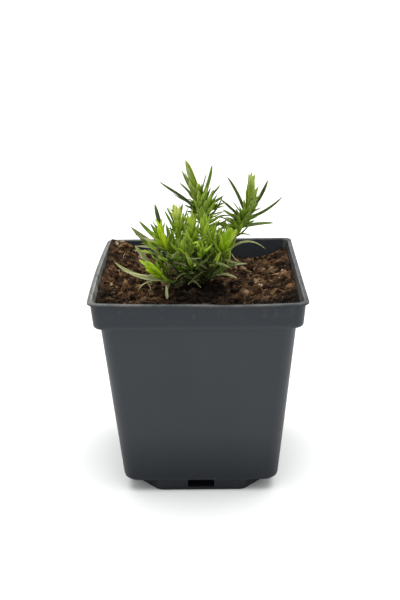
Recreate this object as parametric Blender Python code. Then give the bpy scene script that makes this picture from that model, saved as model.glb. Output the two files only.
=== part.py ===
"""Phlox plant in its square nursery pot, in metres, +Z up, with the front of the pot towards -Y.

The origin is on the floor under the middle of the pot. The pot is one moulded shell on a hollow base
whose corners are cut away and raised. The potting mix fills it to a finger's width under the lip. A
woody crown sits in the mix, stems rise from the crown, and awl-shaped leaves stand on the stems.
"""

import math

import bmesh
import bpy
from mathutils import Matrix, Vector, noise

MM = 0.001
GAP = 0.3 * MM  # clearance between touching pieces

# Pot: half widths of the square shell, from the lip down.
POT_HEIGHT = 95 * MM
LIP_HALF = 45 * MM
LIP_THICKNESS = 1.1 * MM
BAND_HEIGHT = 12.9 * MM
BAND_TOP_HALF = 44.1 * MM
BAND_FOOT_HALF = 43.2 * MM
BODY_TOP_HALF = 40.8 * MM
BODY_FOOT_HALF = 34.3 * MM
WALL = 1.0 * MM
FLOOR_HEIGHT = 5.2 * MM
FLOOR_THICKNESS = 1.6 * MM
LIP_CORNER = 3.0 * MM
BAND_CORNER = 4.4 * MM
BODY_CORNER = 6.0 * MM
FLOOR_CORNER = 3.6 * MM
FLOOR_ROUNDING = 2.4 * MM
BAND_ROUNDING = 1.2 * MM
EDGE = 0.3 * MM  # the small chamfer on the lip
STEP = 0.1 * MM  # the slight slope of each flat that steps in or out

# Base: a hollow block under the floor with its corners cut away, and a cross-shaped channel below.
BASE_FOOT_HALF = 32.0 * MM
BASE_TOP_HALF = 33.75 * MM
BASE_TOP = 6.4 * MM
BASE_FRONT = 17.5 * MM  # half of each side's flat front
BASE_CORNER = 23.6 * MM  # where the cut-away corner starts, from the middle
CHANNEL_HALF = 5.6 * MM
CHANNEL_TOP = 5.0 * MM
SILL = 1.8 * MM  # thickness of the wall that closes each end of the channel
SLOT_HALF = 5.9 * MM
SILL_HEIGHT = 2.2 * MM
SLOT_TOP = 5.8 * MM
DRAIN_HOLE_RADIUS = 5 * MM
CORNER_HOLE_RADIUS = 2.0 * MM
CORNER_HOLE_PLACE = 27.8 * MM

# Potting mix: level, the heap in the back left corner, and the lumps all over.
MIX_LEVEL = 85.0 * MM
HEAP_CENTRE = Vector((-36, 37, 0)) * MM
HEAP_RISE = 8.4 * MM
HEAP_SPREAD = 8.5 * MM
LUMP_RISE = 0.55 * MM
LUMP_SIZE = 7 * MM
MIX_ROWS = 10
MIX_SIDE_STEPS = 9

# Crown: the woody base of the plant, most of it under the mix.
CROWN_CENTRE = Vector((1, 3, 0)) * MM
CROWN_RADIUS = 3.6 * MM
CROWN_ROOT_RADIUS = 1.6 * MM
CROWN_BOTTOM = 70 * MM
CROWN_TOP = 87.2 * MM

STEM_RADIUS = 0.75 * MM
STEM_TIP_SHARE = 0.62
LEAF_THICKNESS = 0.5 * MM

# The leaf's outline: broad below the middle, then drawn out to a point.
LEAF_BASE_SHARE = 0.55
LEAF_SWELL = 0.75
LEAF_TAPER = 2.2
LEAF_BROADEST = 0.74  # brings the broadest place to the stated width
LEAF_TIP_SHARE = 0.09
LEAF_TIP_THICKNESS = 0.35

CORNER_STEPS = 5
CONE_SIDES = 20
LEAF_STATIONS = (0, 0.15, 0.35, 0.55, 0.75, 0.9, 1)
LEAF_SIDES = 6
ROUTE_STEPS = 3

# Each shoot: the points that its stem passes through, in mm, and its leaves, lowest first.
# A leaf is (height of its foot on the stem, tip, width, arch, age), in mm. The arch is its bow
# upwards as a share of its length: a negative arch sags first and turns up at the tip.
SHOOTS = {
    "main": {
        "stem": ((1, 3, 88), (2.5, 5.5, 101), (3, 6, 110.5), (2, 6, 117), (1, 6, 123), (0.2, 6, 127)),
        "leaves": (
            (114.5, (11, -3, 128.5), 1.7, -0.06, "mature"),
            (116.5, (6.5, -3, 118), 1.6, 0.12, "mature"),
            (118.5, (10, 12, 129.5), 1.5, 0.05, "mature"),
            (119.5, (-17, 0, 134.5), 1.6, 0.08, "mature"),
            (121.5, (5.5, -2, 131.5), 1.7, 0.0, "mature"),
            (122.0, (-8.5, 11, 131), 1.3, 0.05, "mature"),
            (123.8, (6.5, 11, 139), 1.5, -0.05, "mature"),
            (124.3, (-7, 9, 137), 1.4, -0.04, "mature"),
            (124.8, (0.5, -2, 133.5), 1.9, 0.05, "young"),
            (126.3, (4, 4, 137), 1.4, 0.0, "young"),
            (126.5, (-5, 1, 143), 2.3, 0.03, "young"),
        ),
    },
    "right": {
        "stem": (
            (3.3, 4.3, 88), (9.5, 7, 97), (14.5, 9, 105), (19, 10, 111.5), (21.5, 10, 117.5), (23, 10, 121.5)
        ),
        "leaves": (
            (99.5, (31, 17, 97.5), 1.3, 0.22, "old"),
            (106, (23.5, 3, 114.5), 1.6, -0.15, "mature"),
            (110, (7, 18, 113), 1.4, 0.12, "old"),
            (111, (34.5, 14, 111), 1.5, 0.03, "mature"),
            (113.5, (9.5, 4, 125), 1.5, 0.03, "mature"),
            (114.5, (37.5, 4, 126), 1.5, -0.07, "mature"),
            (117, (31.5, 15, 131), 1.5, -0.12, "mature"),
            (117.5, (13, 15, 132.5), 1.5, 0.04, "mature"),
            (119.5, (27, 2, 127), 1.6, 0.0, "young"),
            (121, (22.5, 6, 136.5), 2.2, 0.0, "young"),
            (121.3, (25.5, 12, 134.5), 2.2, 0.0, "young"),
        ),
    },
    "left": {
        "stem": ((-1.4, 3.9, 88), (-7.5, 3, 94.5), (-12, 1, 100.5), (-15, 0, 106.5), (-15.8, -0.5, 109.5)),
        "leaves": (
            (101.5, (-13.5, -5, 113.5), 1.7, 0.05, "mature"),
            (102.5, (-30.5, 4, 113), 1.7, -0.04, "old"),
            (105.5, (-26.5, 6, 115), 1.6, -0.05, "mature"),
            (105.5, (-17.5, -6, 115.5), 2.2, 0.0, "young"),
            (108.5, (-19, 3, 123.5), 1.7, 0.0, "mature"),
            (108.5, (-19.8, -5, 118.5), 1.6, 0.0, "mature"),
        ),
    },
    "centre": {
        "stem": ((0.55, 5.6, 88), (-4, 9, 96), (-7, 11, 102), (-9.3, 12, 108), (-9.5, 12, 112.5)),
        "leaves": (
            (107, (-15.5, 16, 117), 1.3, 0.0, "mature"),
            (107, (-4.5, 8, 120.5), 1.6, 0.0, "mature"),
            (110, (-14.5, 14, 119), 1.4, 0.05, "mature"),
            (110, (-7, 17, 120), 1.4, 0.05, "mature"),
            (112, (-11, 8, 122), 2.3, 0.0, "young"),
            (112, (-8.2, 12, 121), 2.0, 0.0, "young"),
        ),
    },
    "low_left": {
        "stem": ((-1.1, 1.5, 88.5), (-8, -6, 90), (-13.5, -10, 92), (-17.5, -12, 96)),
        "leaves": (
            (91.6, (-14, -13, 86.4), 1.4, 0.1, "old"),
            (93.5, (-36.5, -10, 101), 1.9, -0.09, "old"),
            (94.3, (-28, -2, 106), 2.0, 0.1, "old"),
            (95.4, (-26, -10, 102), 1.8, 0.05, "mature"),
            (95.4, (-22.5, -17, 103.5), 2.5, 0.02, "young"),
        ),
    },
    "front_right": {
        "stem": ((3.5, 2.3, 88), (6.5, -1, 94), (9.5, -3, 101), (11.5, -4, 106)),
        "leaves": (
            (93, (22, 5, 94.5), 1.6, 0.12, "old"),
            (101, (8, -10, 114.5), 2.2, 0.0, "mature"),
            (101.5, (17, 0, 112.5), 1.7, 0.0, "young"),
            (104.5, (9, 1, 113), 1.8, 0.0, "mature"),
            (104.5, (14.5, -9, 115.5), 2.4, 0.0, "young"),
        ),
    },
    "low_right": {
        "stem": ((2.3, 0.75, 88.4), (6, -4, 91.5), (9.5, -6, 96)),
        "leaves": (
            (93.5, (17, -8, 92), 1.7, 0.12, "old"),
            (95.3, (18, -3, 98), 1.5, 0.05, "mature"),
        ),
    },
    "low_front": {
        "stem": ((0.55, 0.4, 88.4), (-4.5, -6, 92), (-8, -8.5, 97)),
        "leaves": (
            (94, (-2, -15, 97), 1.6, 0.1, "mature"),
            (96.3, (-13, -14, 101), 1.8, 0.05, "mature"),
        ),
    },
}

COLOURS = {
    "pot": (0.058, 0.063, 0.069),
    "potting_mix": (0.085, 0.048, 0.030),
    "crown": (0.10, 0.07, 0.04),
    "stem": (0.20, 0.25, 0.08),
    "young": (0.27, 0.40, 0.03),
    "mature": (0.10, 0.19, 0.03),
    "old": (0.26, 0.30, 0.14),
}
ROUGHNESS = {
    "pot": 0.5,
    "potting_mix": 0.95,
    "crown": 0.9,
    "stem": 0.6,
    "young": 0.45,
    "mature": 0.5,
    "old": 0.65,
}
SMOOTH_ANGLE = math.radians(40)


def clear_scene():
    for item in list(bpy.data.objects):
        bpy.data.objects.remove(item, do_unlink=True)


def new_collection(name):
    collection = bpy.data.collections.new(name)
    bpy.context.scene.collection.children.link(collection)
    return collection


def new_material(name, kind):
    material = bpy.data.materials.new(name)
    material.use_nodes = True
    shader = material.node_tree.nodes["Principled BSDF"]
    shader.inputs["Base Color"].default_value = (*COLOURS[kind], 1)
    shader.inputs["Roughness"].default_value = ROUGHNESS[kind]
    shader.inputs["Metallic"].default_value = 0
    return material


def in_metres(point):
    return Vector(point) * MM


# Lofts: the shell, the mix and the leaves are skins through rings of points.
def square_ring(half, corner, height, side_steps=1):
    """A square with rounded corners, anticlockwise from above, with side_steps edges on each side."""
    points = []
    for quarter in range(4):
        turn = Matrix.Rotation(math.radians(90) * quarter, 4, "Z")
        for step in range(CORNER_STEPS + 1):
            angle = math.radians(90) * step / CORNER_STEPS
            offset = Vector((math.cos(angle), math.sin(angle), 0)) * corner
            points.append(turn @ (Vector((half - corner, half - corner, height)) + offset))
        start = Vector((half - corner, half, height))
        for step in range(1, side_steps):
            points.append(turn @ start.lerp(Vector((corner - half, half, height)), step / side_steps))
    return points


def loft(name, rings, collection, material):
    """A closed skin through rings with equal numbers of points, with a cap on the first and last."""
    mesh = bmesh.new()
    loops = [[mesh.verts.new(point) for point in ring] for ring in rings]
    for lower, upper in zip(loops, loops[1:]):
        for i, corner in enumerate(lower):
            j = (i + 1) % len(lower)
            mesh.faces.new((corner, lower[j], upper[j], upper[i]))
    mesh.faces.new(reversed(loops[0]))
    mesh.faces.new(loops[-1])
    bmesh.ops.recalc_face_normals(mesh, faces=mesh.faces)
    return to_object(name, mesh, collection, material)


def to_object(name, mesh, collection, material=None):
    data = bpy.data.meshes.new(name)
    mesh.to_mesh(data)
    mesh.free()
    data.shade_smooth()
    data.set_sharp_from_angle(angle=SMOOTH_ANGLE)
    item = bpy.data.objects.new(name, data)
    collection.objects.link(item)
    if material:
        data.materials.append(material)
    return item


def combine(target, tool, operation):
    """Join a tool to the target or cut it away, and keep the tool out of the model."""
    tool.hide_render = True
    tool.display_type = "WIRE"
    modifier = target.modifiers.new(tool.name, "BOOLEAN")
    modifier.operation = operation
    modifier.solver = "EXACT"
    modifier.object = tool


# The pot.
def body_half(height):
    """Half the outer width of the tapered body at a height."""
    ledge = POT_HEIGHT - BAND_HEIGHT
    share = (height - FLOOR_HEIGHT) / (ledge - FLOOR_HEIGHT)
    return BODY_FOOT_HALF + (BODY_TOP_HALF - BODY_FOOT_HALF) * share


def band_half(height):
    """Half the outer width of the rim band at a height."""
    ledge = POT_HEIGHT - BAND_HEIGHT
    share = (height - ledge) / (POT_HEIGHT - ledge)
    return BAND_FOOT_HALF + (BAND_TOP_HALF - BAND_FOOT_HALF) * share


def pot_rings():
    """From the underside of the floor up the outside, over the lip and down the inside."""
    ledge = POT_HEIGHT - BAND_HEIGHT
    floor_top = FLOOR_HEIGHT + FLOOR_THICKNESS
    lip_under = POT_HEIGHT - LIP_THICKNESS
    rings = []
    for share in (0, 0.35, 0.7, 1):
        angle = math.radians(90) * share
        half = body_half(FLOOR_HEIGHT) - FLOOR_ROUNDING * (1 - math.sin(angle))
        height = FLOOR_HEIGHT + FLOOR_ROUNDING * (1 - math.cos(angle))
        corner = FLOOR_CORNER + (BODY_CORNER - FLOOR_CORNER) * share
        rings.append(square_ring(half, corner, height))
    rings.append(square_ring(body_half(ledge), BODY_CORNER, ledge))
    rings.append(square_ring(BAND_FOOT_HALF - BAND_ROUNDING, BAND_CORNER, ledge + STEP))
    rings.append(square_ring(BAND_FOOT_HALF, BAND_CORNER, ledge + BAND_ROUNDING))
    rings.append(square_ring(band_half(lip_under), BAND_CORNER, lip_under))
    rings.append(square_ring(LIP_HALF, LIP_CORNER, lip_under + STEP))
    rings.append(square_ring(LIP_HALF, LIP_CORNER, POT_HEIGHT - EDGE))
    rings.append(square_ring(LIP_HALF - EDGE, LIP_CORNER, POT_HEIGHT))
    rings.append(square_ring(BAND_TOP_HALF - WALL, BAND_CORNER - WALL, POT_HEIGHT))
    rings.append(square_ring(BAND_FOOT_HALF - WALL, BAND_CORNER - WALL, ledge + WALL + STEP))
    rings.append(square_ring(body_half(ledge) - WALL, BODY_CORNER - WALL, ledge + WALL))
    low = floor_top + FLOOR_ROUNDING - WALL
    rings.append(square_ring(body_half(low) - WALL, BODY_CORNER - WALL, low))
    rings.append(square_ring(body_half(low) - FLOOR_ROUNDING, FLOOR_CORNER, floor_top))
    return rings


def base_half(height):
    """Half the outer width of the base at a height: it leans in below the body."""
    return BASE_FOOT_HALF + (BASE_TOP_HALF - BASE_FOOT_HALF) * height / BASE_TOP


def base_corner(half, inset):
    """Anticlockwise round one quarter of the base, whose corner is cut away, drawn in by inset."""
    bevel = half - (BASE_CORNER - BASE_FRONT)
    aside = inset * math.tan(math.radians(22.5))
    side = half - inset
    front = BASE_FRONT - aside
    turn_in = bevel - aside
    notch = BASE_CORNER - inset
    return [(side, front), (turn_in, notch), (notch, notch), (notch, turn_in), (front, side)]


def turned(outline, quarter, height):
    """The outline's points at a height, turned by a number of quarters."""
    turn = Matrix.Rotation(math.radians(90) * quarter, 4, "Z")
    return [turn @ Vector((x, y, height)) for x, y in outline]


def base_ring(height):
    """The whole outline of the base at a height."""
    outline = base_corner(base_half(height), 0)
    return [point for quarter in range(4) for point in turned(outline, quarter, height)]


def pad_ring(inset, height, quarter):
    """One quarter of the base beside the channels, drawn in by inset."""
    near = CHANNEL_HALF + inset
    side = base_half(height) - inset
    outline = [(near, near), (side, near), *base_corner(base_half(height), inset), (near, side)]
    return turned(outline, quarter, height)


def box_cutter(name, low, high, quarter, collection):
    """A box between two corners, turned by a number of quarters."""
    low, high = Vector(low), Vector(high)
    turn = Matrix.Rotation(math.radians(90) * quarter, 4, "Z")
    mesh = bmesh.new()
    place = turn @ Matrix.Translation((low + high) / 2) @ Matrix.Diagonal((*(high - low), 1))
    bmesh.ops.create_cube(mesh, size=1, matrix=place)
    return to_object(name, mesh, collection)


def cone(name, radii, bottom, top, centre, collection, material=None):
    mesh = bmesh.new()
    place = Matrix.Translation(centre + Vector((0, 0, (bottom + top) / 2)))
    bmesh.ops.create_cone(
        mesh,
        cap_ends=True,
        segments=CONE_SIDES,
        radius1=radii[0],
        radius2=radii[1],
        depth=top - bottom,
        matrix=place,
    )
    return to_object(name, mesh, collection, material)


def cut_channel(pot, tools):
    """A cross-shaped channel under the floor, with a slot through the low wall at each of its ends."""
    below = -WALL
    inner = base_half(0) - SILL
    low = (-CHANNEL_HALF, -inner, below)
    high = (CHANNEL_HALF, inner, CHANNEL_TOP)
    for quarter in range(2):
        combine(pot, box_cutter(f"channel_{quarter}", low, high, quarter, tools), "DIFFERENCE")
    low = (-SLOT_HALF, -BASE_TOP_HALF - WALL, SILL_HEIGHT)
    high = (SLOT_HALF, WALL - inner, SLOT_TOP)
    for quarter in range(4):
        combine(pot, box_cutter(f"slot_{quarter}", low, high, quarter, tools), "DIFFERENCE")


def cut_drain_holes(pot, tools):
    """A hole in the middle of the floor, and one in each raised corner."""
    through = (FLOOR_HEIGHT - WALL, FLOOR_HEIGHT + FLOOR_THICKNESS + WALL)
    radii = (DRAIN_HOLE_RADIUS, DRAIN_HOLE_RADIUS)
    combine(pot, cone("drain_hole", radii, *through, Vector(), tools), "DIFFERENCE")
    radii = (CORNER_HOLE_RADIUS, CORNER_HOLE_RADIUS)
    place = CORNER_HOLE_PLACE
    for number, (x, y) in enumerate(((place, place), (-place, place), (-place, -place), (place, -place))):
        hole = cone(f"corner_hole_{number}", radii, *through, Vector((x, y, 0)), tools)
        combine(pot, hole, "DIFFERENCE")


def build_pot(parts, tools):
    """The shell, with the hollow base joined on, the channel cut under it and holes in the floor."""
    pot = loft("pot", pot_rings(), parts, new_material("pot", "pot"))
    combine(pot, loft("base", [base_ring(0), base_ring(BASE_TOP)], tools, None), "UNION")
    inside = FLOOR_HEIGHT + 2 * FLOOR_THICKNESS
    for quarter in range(4):
        rings = [pad_ring(WALL, WALL, quarter), pad_ring(WALL, inside, quarter)]
        combine(pot, loft(f"pad_hollow_{quarter}", rings, tools, None), "DIFFERENCE")
    cut_channel(pot, tools)
    cut_drain_holes(pot, tools)
    return pot


# The potting mix.
def mix_height(x, y):
    """Height of the mix: level, heaped towards the back left corner, lumpy all over."""
    distance = (Vector((x, y, 0)) - HEAP_CENTRE).length
    heap = HEAP_RISE * math.exp(-0.5 * (distance / HEAP_SPREAD) ** 2)
    lump = LUMP_RISE * noise.noise(Vector((x, y, 0)) / LUMP_SIZE)
    return MIX_LEVEL + heap + lump


def mix_rings():
    """Up the inside of the pot, out over its ledge, and in across the lumpy surface."""
    sides = MIX_SIDE_STEPS
    ledge_top = POT_HEIGHT - BAND_HEIGHT + WALL + GAP
    floor_top = FLOOR_HEIGHT + FLOOR_THICKNESS + GAP
    low = floor_top + FLOOR_ROUNDING
    clear = WALL + GAP
    rim_half = band_half(ledge_top) - clear
    rings = [
        square_ring(body_half(low) - FLOOR_ROUNDING - 2 * GAP, FLOOR_CORNER, floor_top, sides),
        square_ring(body_half(low) - clear, BODY_CORNER - clear, low, sides),
        square_ring(body_half(POT_HEIGHT - BAND_HEIGHT) - clear, BODY_CORNER - clear, ledge_top, sides),
        square_ring(rim_half, BAND_CORNER - clear, ledge_top, sides),
    ]
    for row in range(MIX_ROWS):
        share = 1 - row / MIX_ROWS
        ring = square_ring(rim_half * share, (BAND_CORNER - clear) * share, 0, sides)
        rings.append([Vector((x, y, mix_height(x, y))) for x, y, _ in ring])
    return rings


def build_mix(parts, tools):
    """The mix fills the pot and its hollow base, and has a hole that the crown stands in."""
    mix = loft("potting_mix", mix_rings(), parts, new_material("potting_mix", "potting_mix"))
    inner = WALL + GAP
    top = FLOOR_HEIGHT + 3 * FLOOR_THICKNESS
    for quarter in range(4):
        rings = [pad_ring(inner, WALL + GAP, quarter), pad_ring(inner, top, quarter)]
        combine(mix, loft(f"mix_in_base_{quarter}", rings, tools, None), "UNION")
    radii = (CROWN_ROOT_RADIUS + GAP, CROWN_RADIUS + GAP)
    hole = cone("crown_hole", radii, CROWN_BOTTOM - GAP, CROWN_TOP + GAP, CROWN_CENTRE, tools)
    combine(mix, hole, "DIFFERENCE")
    return mix


# The plant.
def smooth_route(points, steps):
    """A smooth curve through the points, with the given number of steps between each pair."""
    padded = [2 * points[0] - points[1], *points, 2 * points[-1] - points[-2]]
    route = []
    for a, b, c, d in zip(padded, padded[1:], padded[2:], padded[3:]):
        for step in range(steps):
            t = step / steps
            bend = (2 * a - 5 * b + 4 * c - d) * t + (3 * b - a - 3 * c + d) * t * t
            route.append(b + ((c - a) + bend) * t / 2)
    route.append(points[-1])
    return route


def stem_share(index, count):
    """The stem's radius at a point, as a share of its radius at the foot."""
    return 1 + (STEM_TIP_SHARE - 1) * index / (count - 1)


def build_stem(name, route, parts, material):
    """A tapered tube along the route."""
    curve = bpy.data.curves.new(name, "CURVE")
    curve.dimensions = "3D"
    curve.bevel_depth = STEM_RADIUS
    curve.bevel_resolution = 2
    curve.use_fill_caps = True
    curve.materials.append(material)
    spline = curve.splines.new("POLY")
    spline.points.add(len(route) - 1)
    for index, (point, place) in enumerate(zip(spline.points, route)):
        point.co = (*place, 1)
        point.radius = stem_share(index, len(route))
    item = bpy.data.objects.new(name, curve)
    parts.objects.link(item)
    return item


def leaf_seat(route, height, tip):
    """Where a leaf starts, beside its stem on its tip's side, and the direction across its blade."""
    index = 0
    while index < len(route) - 2 and route[index + 1].z < height:
        index += 1
    low, high = route[index], route[index + 1]
    centre = low.lerp(high, (height - low.z) / (high.z - low.z))
    along = (high - low).normalized()
    aside = (tip - centre) - along * (tip - centre).dot(along)
    aside.normalize()
    reach = STEM_RADIUS * stem_share(index, len(route)) + GAP + LEAF_THICKNESS / 2
    return centre + aside * reach, along.cross(aside)


def leaf_outline(share):
    """Half width of a leaf at a share of its length: broad below the middle, drawn out to a point."""
    swell = (1 - share**LEAF_TAPER) * (LEAF_BASE_SHARE + LEAF_SWELL * share) / LEAF_BROADEST
    return swell + LEAF_TIP_SHARE * share


def build_leaf(name, foot, across, tip, width, arch, parts, material):
    """An awl-shaped blade whose flat side faces up its stem, arched along its length."""
    chord = tip - foot
    inward = chord.cross(across).normalized()
    peak = foot.lerp(tip, 0.5) + inward * arch * chord.length * 2
    rings = []
    for share in LEAF_STATIONS:
        centre = foot.lerp(peak, share).lerp(peak.lerp(tip, share), share)
        along = (peak - foot).lerp(tip - peak, share).normalized()
        side_on = across.cross(along)
        half = width / 2 * leaf_outline(share)
        thick = LEAF_THICKNESS / 2 * min(1, 2.5 * (1 - share) + LEAF_TIP_THICKNESS)
        ring = []
        for side in range(LEAF_SIDES):
            angle = 2 * math.pi * side / LEAF_SIDES
            ring.append(centre + across * half * math.cos(angle) + side_on * thick * math.sin(angle))
        rings.append(ring)
    return loft(name, rings, parts, material)


def build_shoot(name, shoot, parts):
    """One stem and the leaves on it."""
    route = smooth_route([in_metres(point) for point in shoot["stem"]], ROUTE_STEPS)
    items = [build_stem(f"stem_{name}", route, parts, new_material(f"stem_{name}", "stem"))]
    for number, (height, tip, width, arch, age) in enumerate(shoot["leaves"], start=1):
        tip = in_metres(tip)
        foot, across = leaf_seat(route, height * MM, tip)
        label = f"leaf_{name}_{number:02d}"
        material = new_material(label, age)
        items.append(build_leaf(label, foot, across, tip, width * MM, arch, parts, material))
    return items


def main():
    clear_scene()
    parts = new_collection("phlox_plant")
    tools = new_collection("cutters")
    stand = bpy.data.objects.new("stand", None)
    parts.objects.link(stand)
    radii = (CROWN_ROOT_RADIUS, CROWN_RADIUS)
    crown_material = new_material("crown", "crown")
    items = [
        build_pot(parts, tools),
        build_mix(parts, tools),
        cone("crown", radii, CROWN_BOTTOM, CROWN_TOP, CROWN_CENTRE, parts, crown_material),
    ]
    for name, shoot in SHOOTS.items():
        items.extend(build_shoot(name, shoot, parts))
    for item in items:
        item.parent = stand


main()
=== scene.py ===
# %% [markdown]
# # A moss phlox in its square nursery pot
# The solids of the pot, the potting mix, the crown, the stems and 48 of the leaves come in as a fixed
# frame. This lesson puts the looks around them: a moulded pot with soft edges, loose crumbly mix, and a
# dense little plant of awl-shaped leaves. Sizes are in millimetres in the tables and turned into metres
# by MM, because a plant this small is easier to think of in millimetres.

# %% load the frame and measure it
import math
import random

import bmesh
import bpy
import numpy as np
from mathutils import Matrix, Quaternion, Vector, noise


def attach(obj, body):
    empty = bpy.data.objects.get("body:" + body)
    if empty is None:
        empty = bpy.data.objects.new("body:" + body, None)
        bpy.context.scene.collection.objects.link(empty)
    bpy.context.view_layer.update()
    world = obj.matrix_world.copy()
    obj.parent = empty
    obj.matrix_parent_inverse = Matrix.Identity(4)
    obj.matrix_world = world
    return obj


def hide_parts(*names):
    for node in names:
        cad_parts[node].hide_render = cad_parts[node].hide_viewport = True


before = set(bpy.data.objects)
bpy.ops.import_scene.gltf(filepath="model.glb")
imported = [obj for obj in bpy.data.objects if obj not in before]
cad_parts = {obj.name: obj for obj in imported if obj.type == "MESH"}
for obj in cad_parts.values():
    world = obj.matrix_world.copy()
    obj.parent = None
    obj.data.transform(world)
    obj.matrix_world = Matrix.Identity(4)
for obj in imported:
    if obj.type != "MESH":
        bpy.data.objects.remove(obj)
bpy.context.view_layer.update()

MM = 0.001
print("solids in the frame:", len(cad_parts))

# %% [markdown]
# ## Camera, floor and light
# A plant for sale is shown from a little above, close enough for some perspective. A camera can be placed by
# hand or aimed by angles. Here it stands off from a point in the middle of the plant, so that a distance and
# three angles say where it looks from. A long lens of 54 mm keeps the pot's sides from splaying.

# %% the camera
CAMERA_FOCUS = Vector((0.335, 0, 79.195)) * MM
CAMERA_DISTANCE = 409.2 * MM
CAMERA_RISE = math.radians(20.28)
CAMERA_TURN = math.radians(0.59)
CAMERA_ROLL = math.radians(-0.82)
CAMERA_LENS = 54.2
CAMERA_NEAR = 10 * MM
CAMERA_FAR = 60.0


def place_camera():
    level = math.cos(CAMERA_RISE)
    back = Vector((math.sin(CAMERA_TURN) * level, -math.cos(CAMERA_TURN) * level, math.sin(CAMERA_RISE)))
    camera = bpy.data.objects.new("camera", bpy.data.cameras.new("camera"))
    camera.data.lens = CAMERA_LENS
    camera.data.clip_start = CAMERA_NEAR
    camera.data.clip_end = CAMERA_FAR
    aim = back.to_track_quat("Z", "Y") @ Quaternion((0, 0, 1), CAMERA_ROLL)
    camera.matrix_world = Matrix.Translation(CAMERA_FOCUS + back * CAMERA_DISTANCE) @ aim.to_matrix().to_4x4()
    bpy.context.scene.collection.objects.link(camera)
    bpy.context.scene.camera = camera
    return camera


camera = place_camera()
print("camera at, in mm:", [round(value / MM) for value in camera.matrix_world.translation])

# %% [markdown]
# Every finish below is a small tree of nodes. Writing each link by hand makes long scripts, so one helper
# adds a node, and takes for each of its sockets either a plain value or another node's output.

# %% helpers for finishes
def add_node(finish, kind, sockets=None, **settings):
    """A new node in the finish. Sockets take a value, or an output of another node to link from."""
    tree = finish.node_tree
    item = tree.nodes.new(kind)
    for key, value in settings.items():
        setattr(item, key, value)
    for name, value in (sockets or {}).items():
        if isinstance(value, bpy.types.NodeSocket):
            tree.links.new(value, item.inputs[name])
        else:
            item.inputs[name].default_value = value
    return item


def set_shader(finish, **sockets):
    """Sets or links sockets of the finish's own shader. An underscore in a name stands for a space."""
    shader = finish.node_tree.nodes["Principled BSDF"]
    for name, value in sockets.items():
        socket = shader.inputs[name.replace("_", " ")]
        if isinstance(value, bpy.types.NodeSocket):
            finish.node_tree.links.new(value, socket)
        else:
            socket.default_value = value
    return shader


def new_finish(name, **sockets):
    finish = bpy.data.materials.new(name)
    finish.use_nodes = True
    set_shader(finish, **sockets)
    return finish


print("finishes so far:", len(bpy.data.materials))


# %% colours, grain and bumps of a finish
def colour_scale(finish, factor, stops):
    """Colours along a scale: stops are (place, (red, green, blue)), in order."""
    item = add_node(finish, "ShaderNodeValToRGB", {"Fac": factor})
    marks = item.color_ramp.elements
    while len(marks) < len(stops):
        marks.new(0.5)
    for mark, (place, colour) in zip(marks, stops):
        mark.position = place
        mark.color = (*colour, 1)
    return item.outputs["Color"]


def grain(finish, scale, detail=2.0, roughness=0.5, stretch=None):
    """Noise in object space, at this many cells a metre, from 0 to 1."""
    place = coordinates(finish)
    if stretch:
        place = add_node(finish, "ShaderNodeMapping", {"Vector": place, "Scale": stretch}).outputs["Vector"]
    sockets = {"Vector": place, "Scale": scale, "Detail": detail, "Roughness": roughness}
    return add_node(finish, "ShaderNodeTexNoise", sockets).outputs["Fac"]


def blend_colours(finish, factor, first, second):
    """The first colour, covered by the second as far as the factor says."""
    item = add_node(finish, "ShaderNodeMix", data_type="RGBA")
    tree = finish.node_tree
    for index, value in ((0, factor), (6, first), (7, second)):
        if isinstance(value, bpy.types.NodeSocket):
            tree.links.new(value, item.inputs[index])
        elif index:
            item.inputs[index].default_value = (*value, 1)
        else:
            item.inputs[index].default_value = value
    return item.outputs[2]


def bump(finish, height, distance, strength=1.0, under=None):
    sockets = {"Height": height, "Distance": distance, "Strength": strength}
    if under:
        sockets["Normal"] = under
    return add_node(finish, "ShaderNodeBump", sockets).outputs["Normal"]


print("finishes so far:", len(bpy.data.materials))


# %% sums in a finish
def ranged(finish, value, low, high, to_low=0.0, to_high=1.0):
    """The value mapped evenly from one range to another, and held at its ends."""
    sockets = {"Value": value, "From Min": low, "From Max": high, "To Min": to_low, "To Max": to_high}
    return add_node(finish, "ShaderNodeMapRange", sockets).outputs["Result"]


def over_mm(finish, place, start, end, to_start=0.0, to_end=1.0):
    """The same for a place in the object, with the range that it runs over in mm."""
    return ranged(finish, place, start * MM, end * MM, to_start, to_end)


def combine(finish, way, first, *others):
    """Numbers added, subtracted, multiplied or compared, one after the other, as way says."""
    for other in others:
        first = add_node(finish, "ShaderNodeMath", {0: first, 1: other}, operation=way).outputs[0]
    return first


def size_of(finish, value):
    """A number without its sign."""
    return add_node(finish, "ShaderNodeMath", {0: value}, operation="ABSOLUTE").outputs[0]


def vector_step(finish, way, place, *others):
    """One step of sums with vectors."""
    sockets = dict(enumerate((place, *others)))
    return add_node(finish, "ShaderNodeVectorMath", sockets, operation=way).outputs


def coordinates(finish):
    """The place in object space, as a vector."""
    return add_node(finish, "ShaderNodeTexCoord").outputs["Object"]


def parts_of(finish, place):
    """The three numbers of a vector."""
    return add_node(finish, "ShaderNodeSeparateXYZ", {"Vector": place}).outputs


def from_mesh(finish, name, kind="Fac"):
    """A number, or a vector, that the mesh holds at each of its points."""
    return add_node(finish, "ShaderNodeAttribute", attribute_name=name).outputs[kind]


def layered(finish, colour, layers):
    """The colour under layers of others. Each layer is a factor and a colour, the lowest first."""
    for factor, layer in layers:
        colour = blend_colours(finish, factor, colour, layer)
    return colour


print("finishes so far:", len(bpy.data.materials))

# %% helpers for plain numbers
def held(value, low=0.0, high=1.0):
    return min(high, max(low, value))


def progress(value, start, end):
    """How far the value has come from a start to an end, from 0 to 1."""
    return held((value - start) / (end - start))


print("progress of 70 from 60 to 100:", progress(70, 60, 100))

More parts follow.
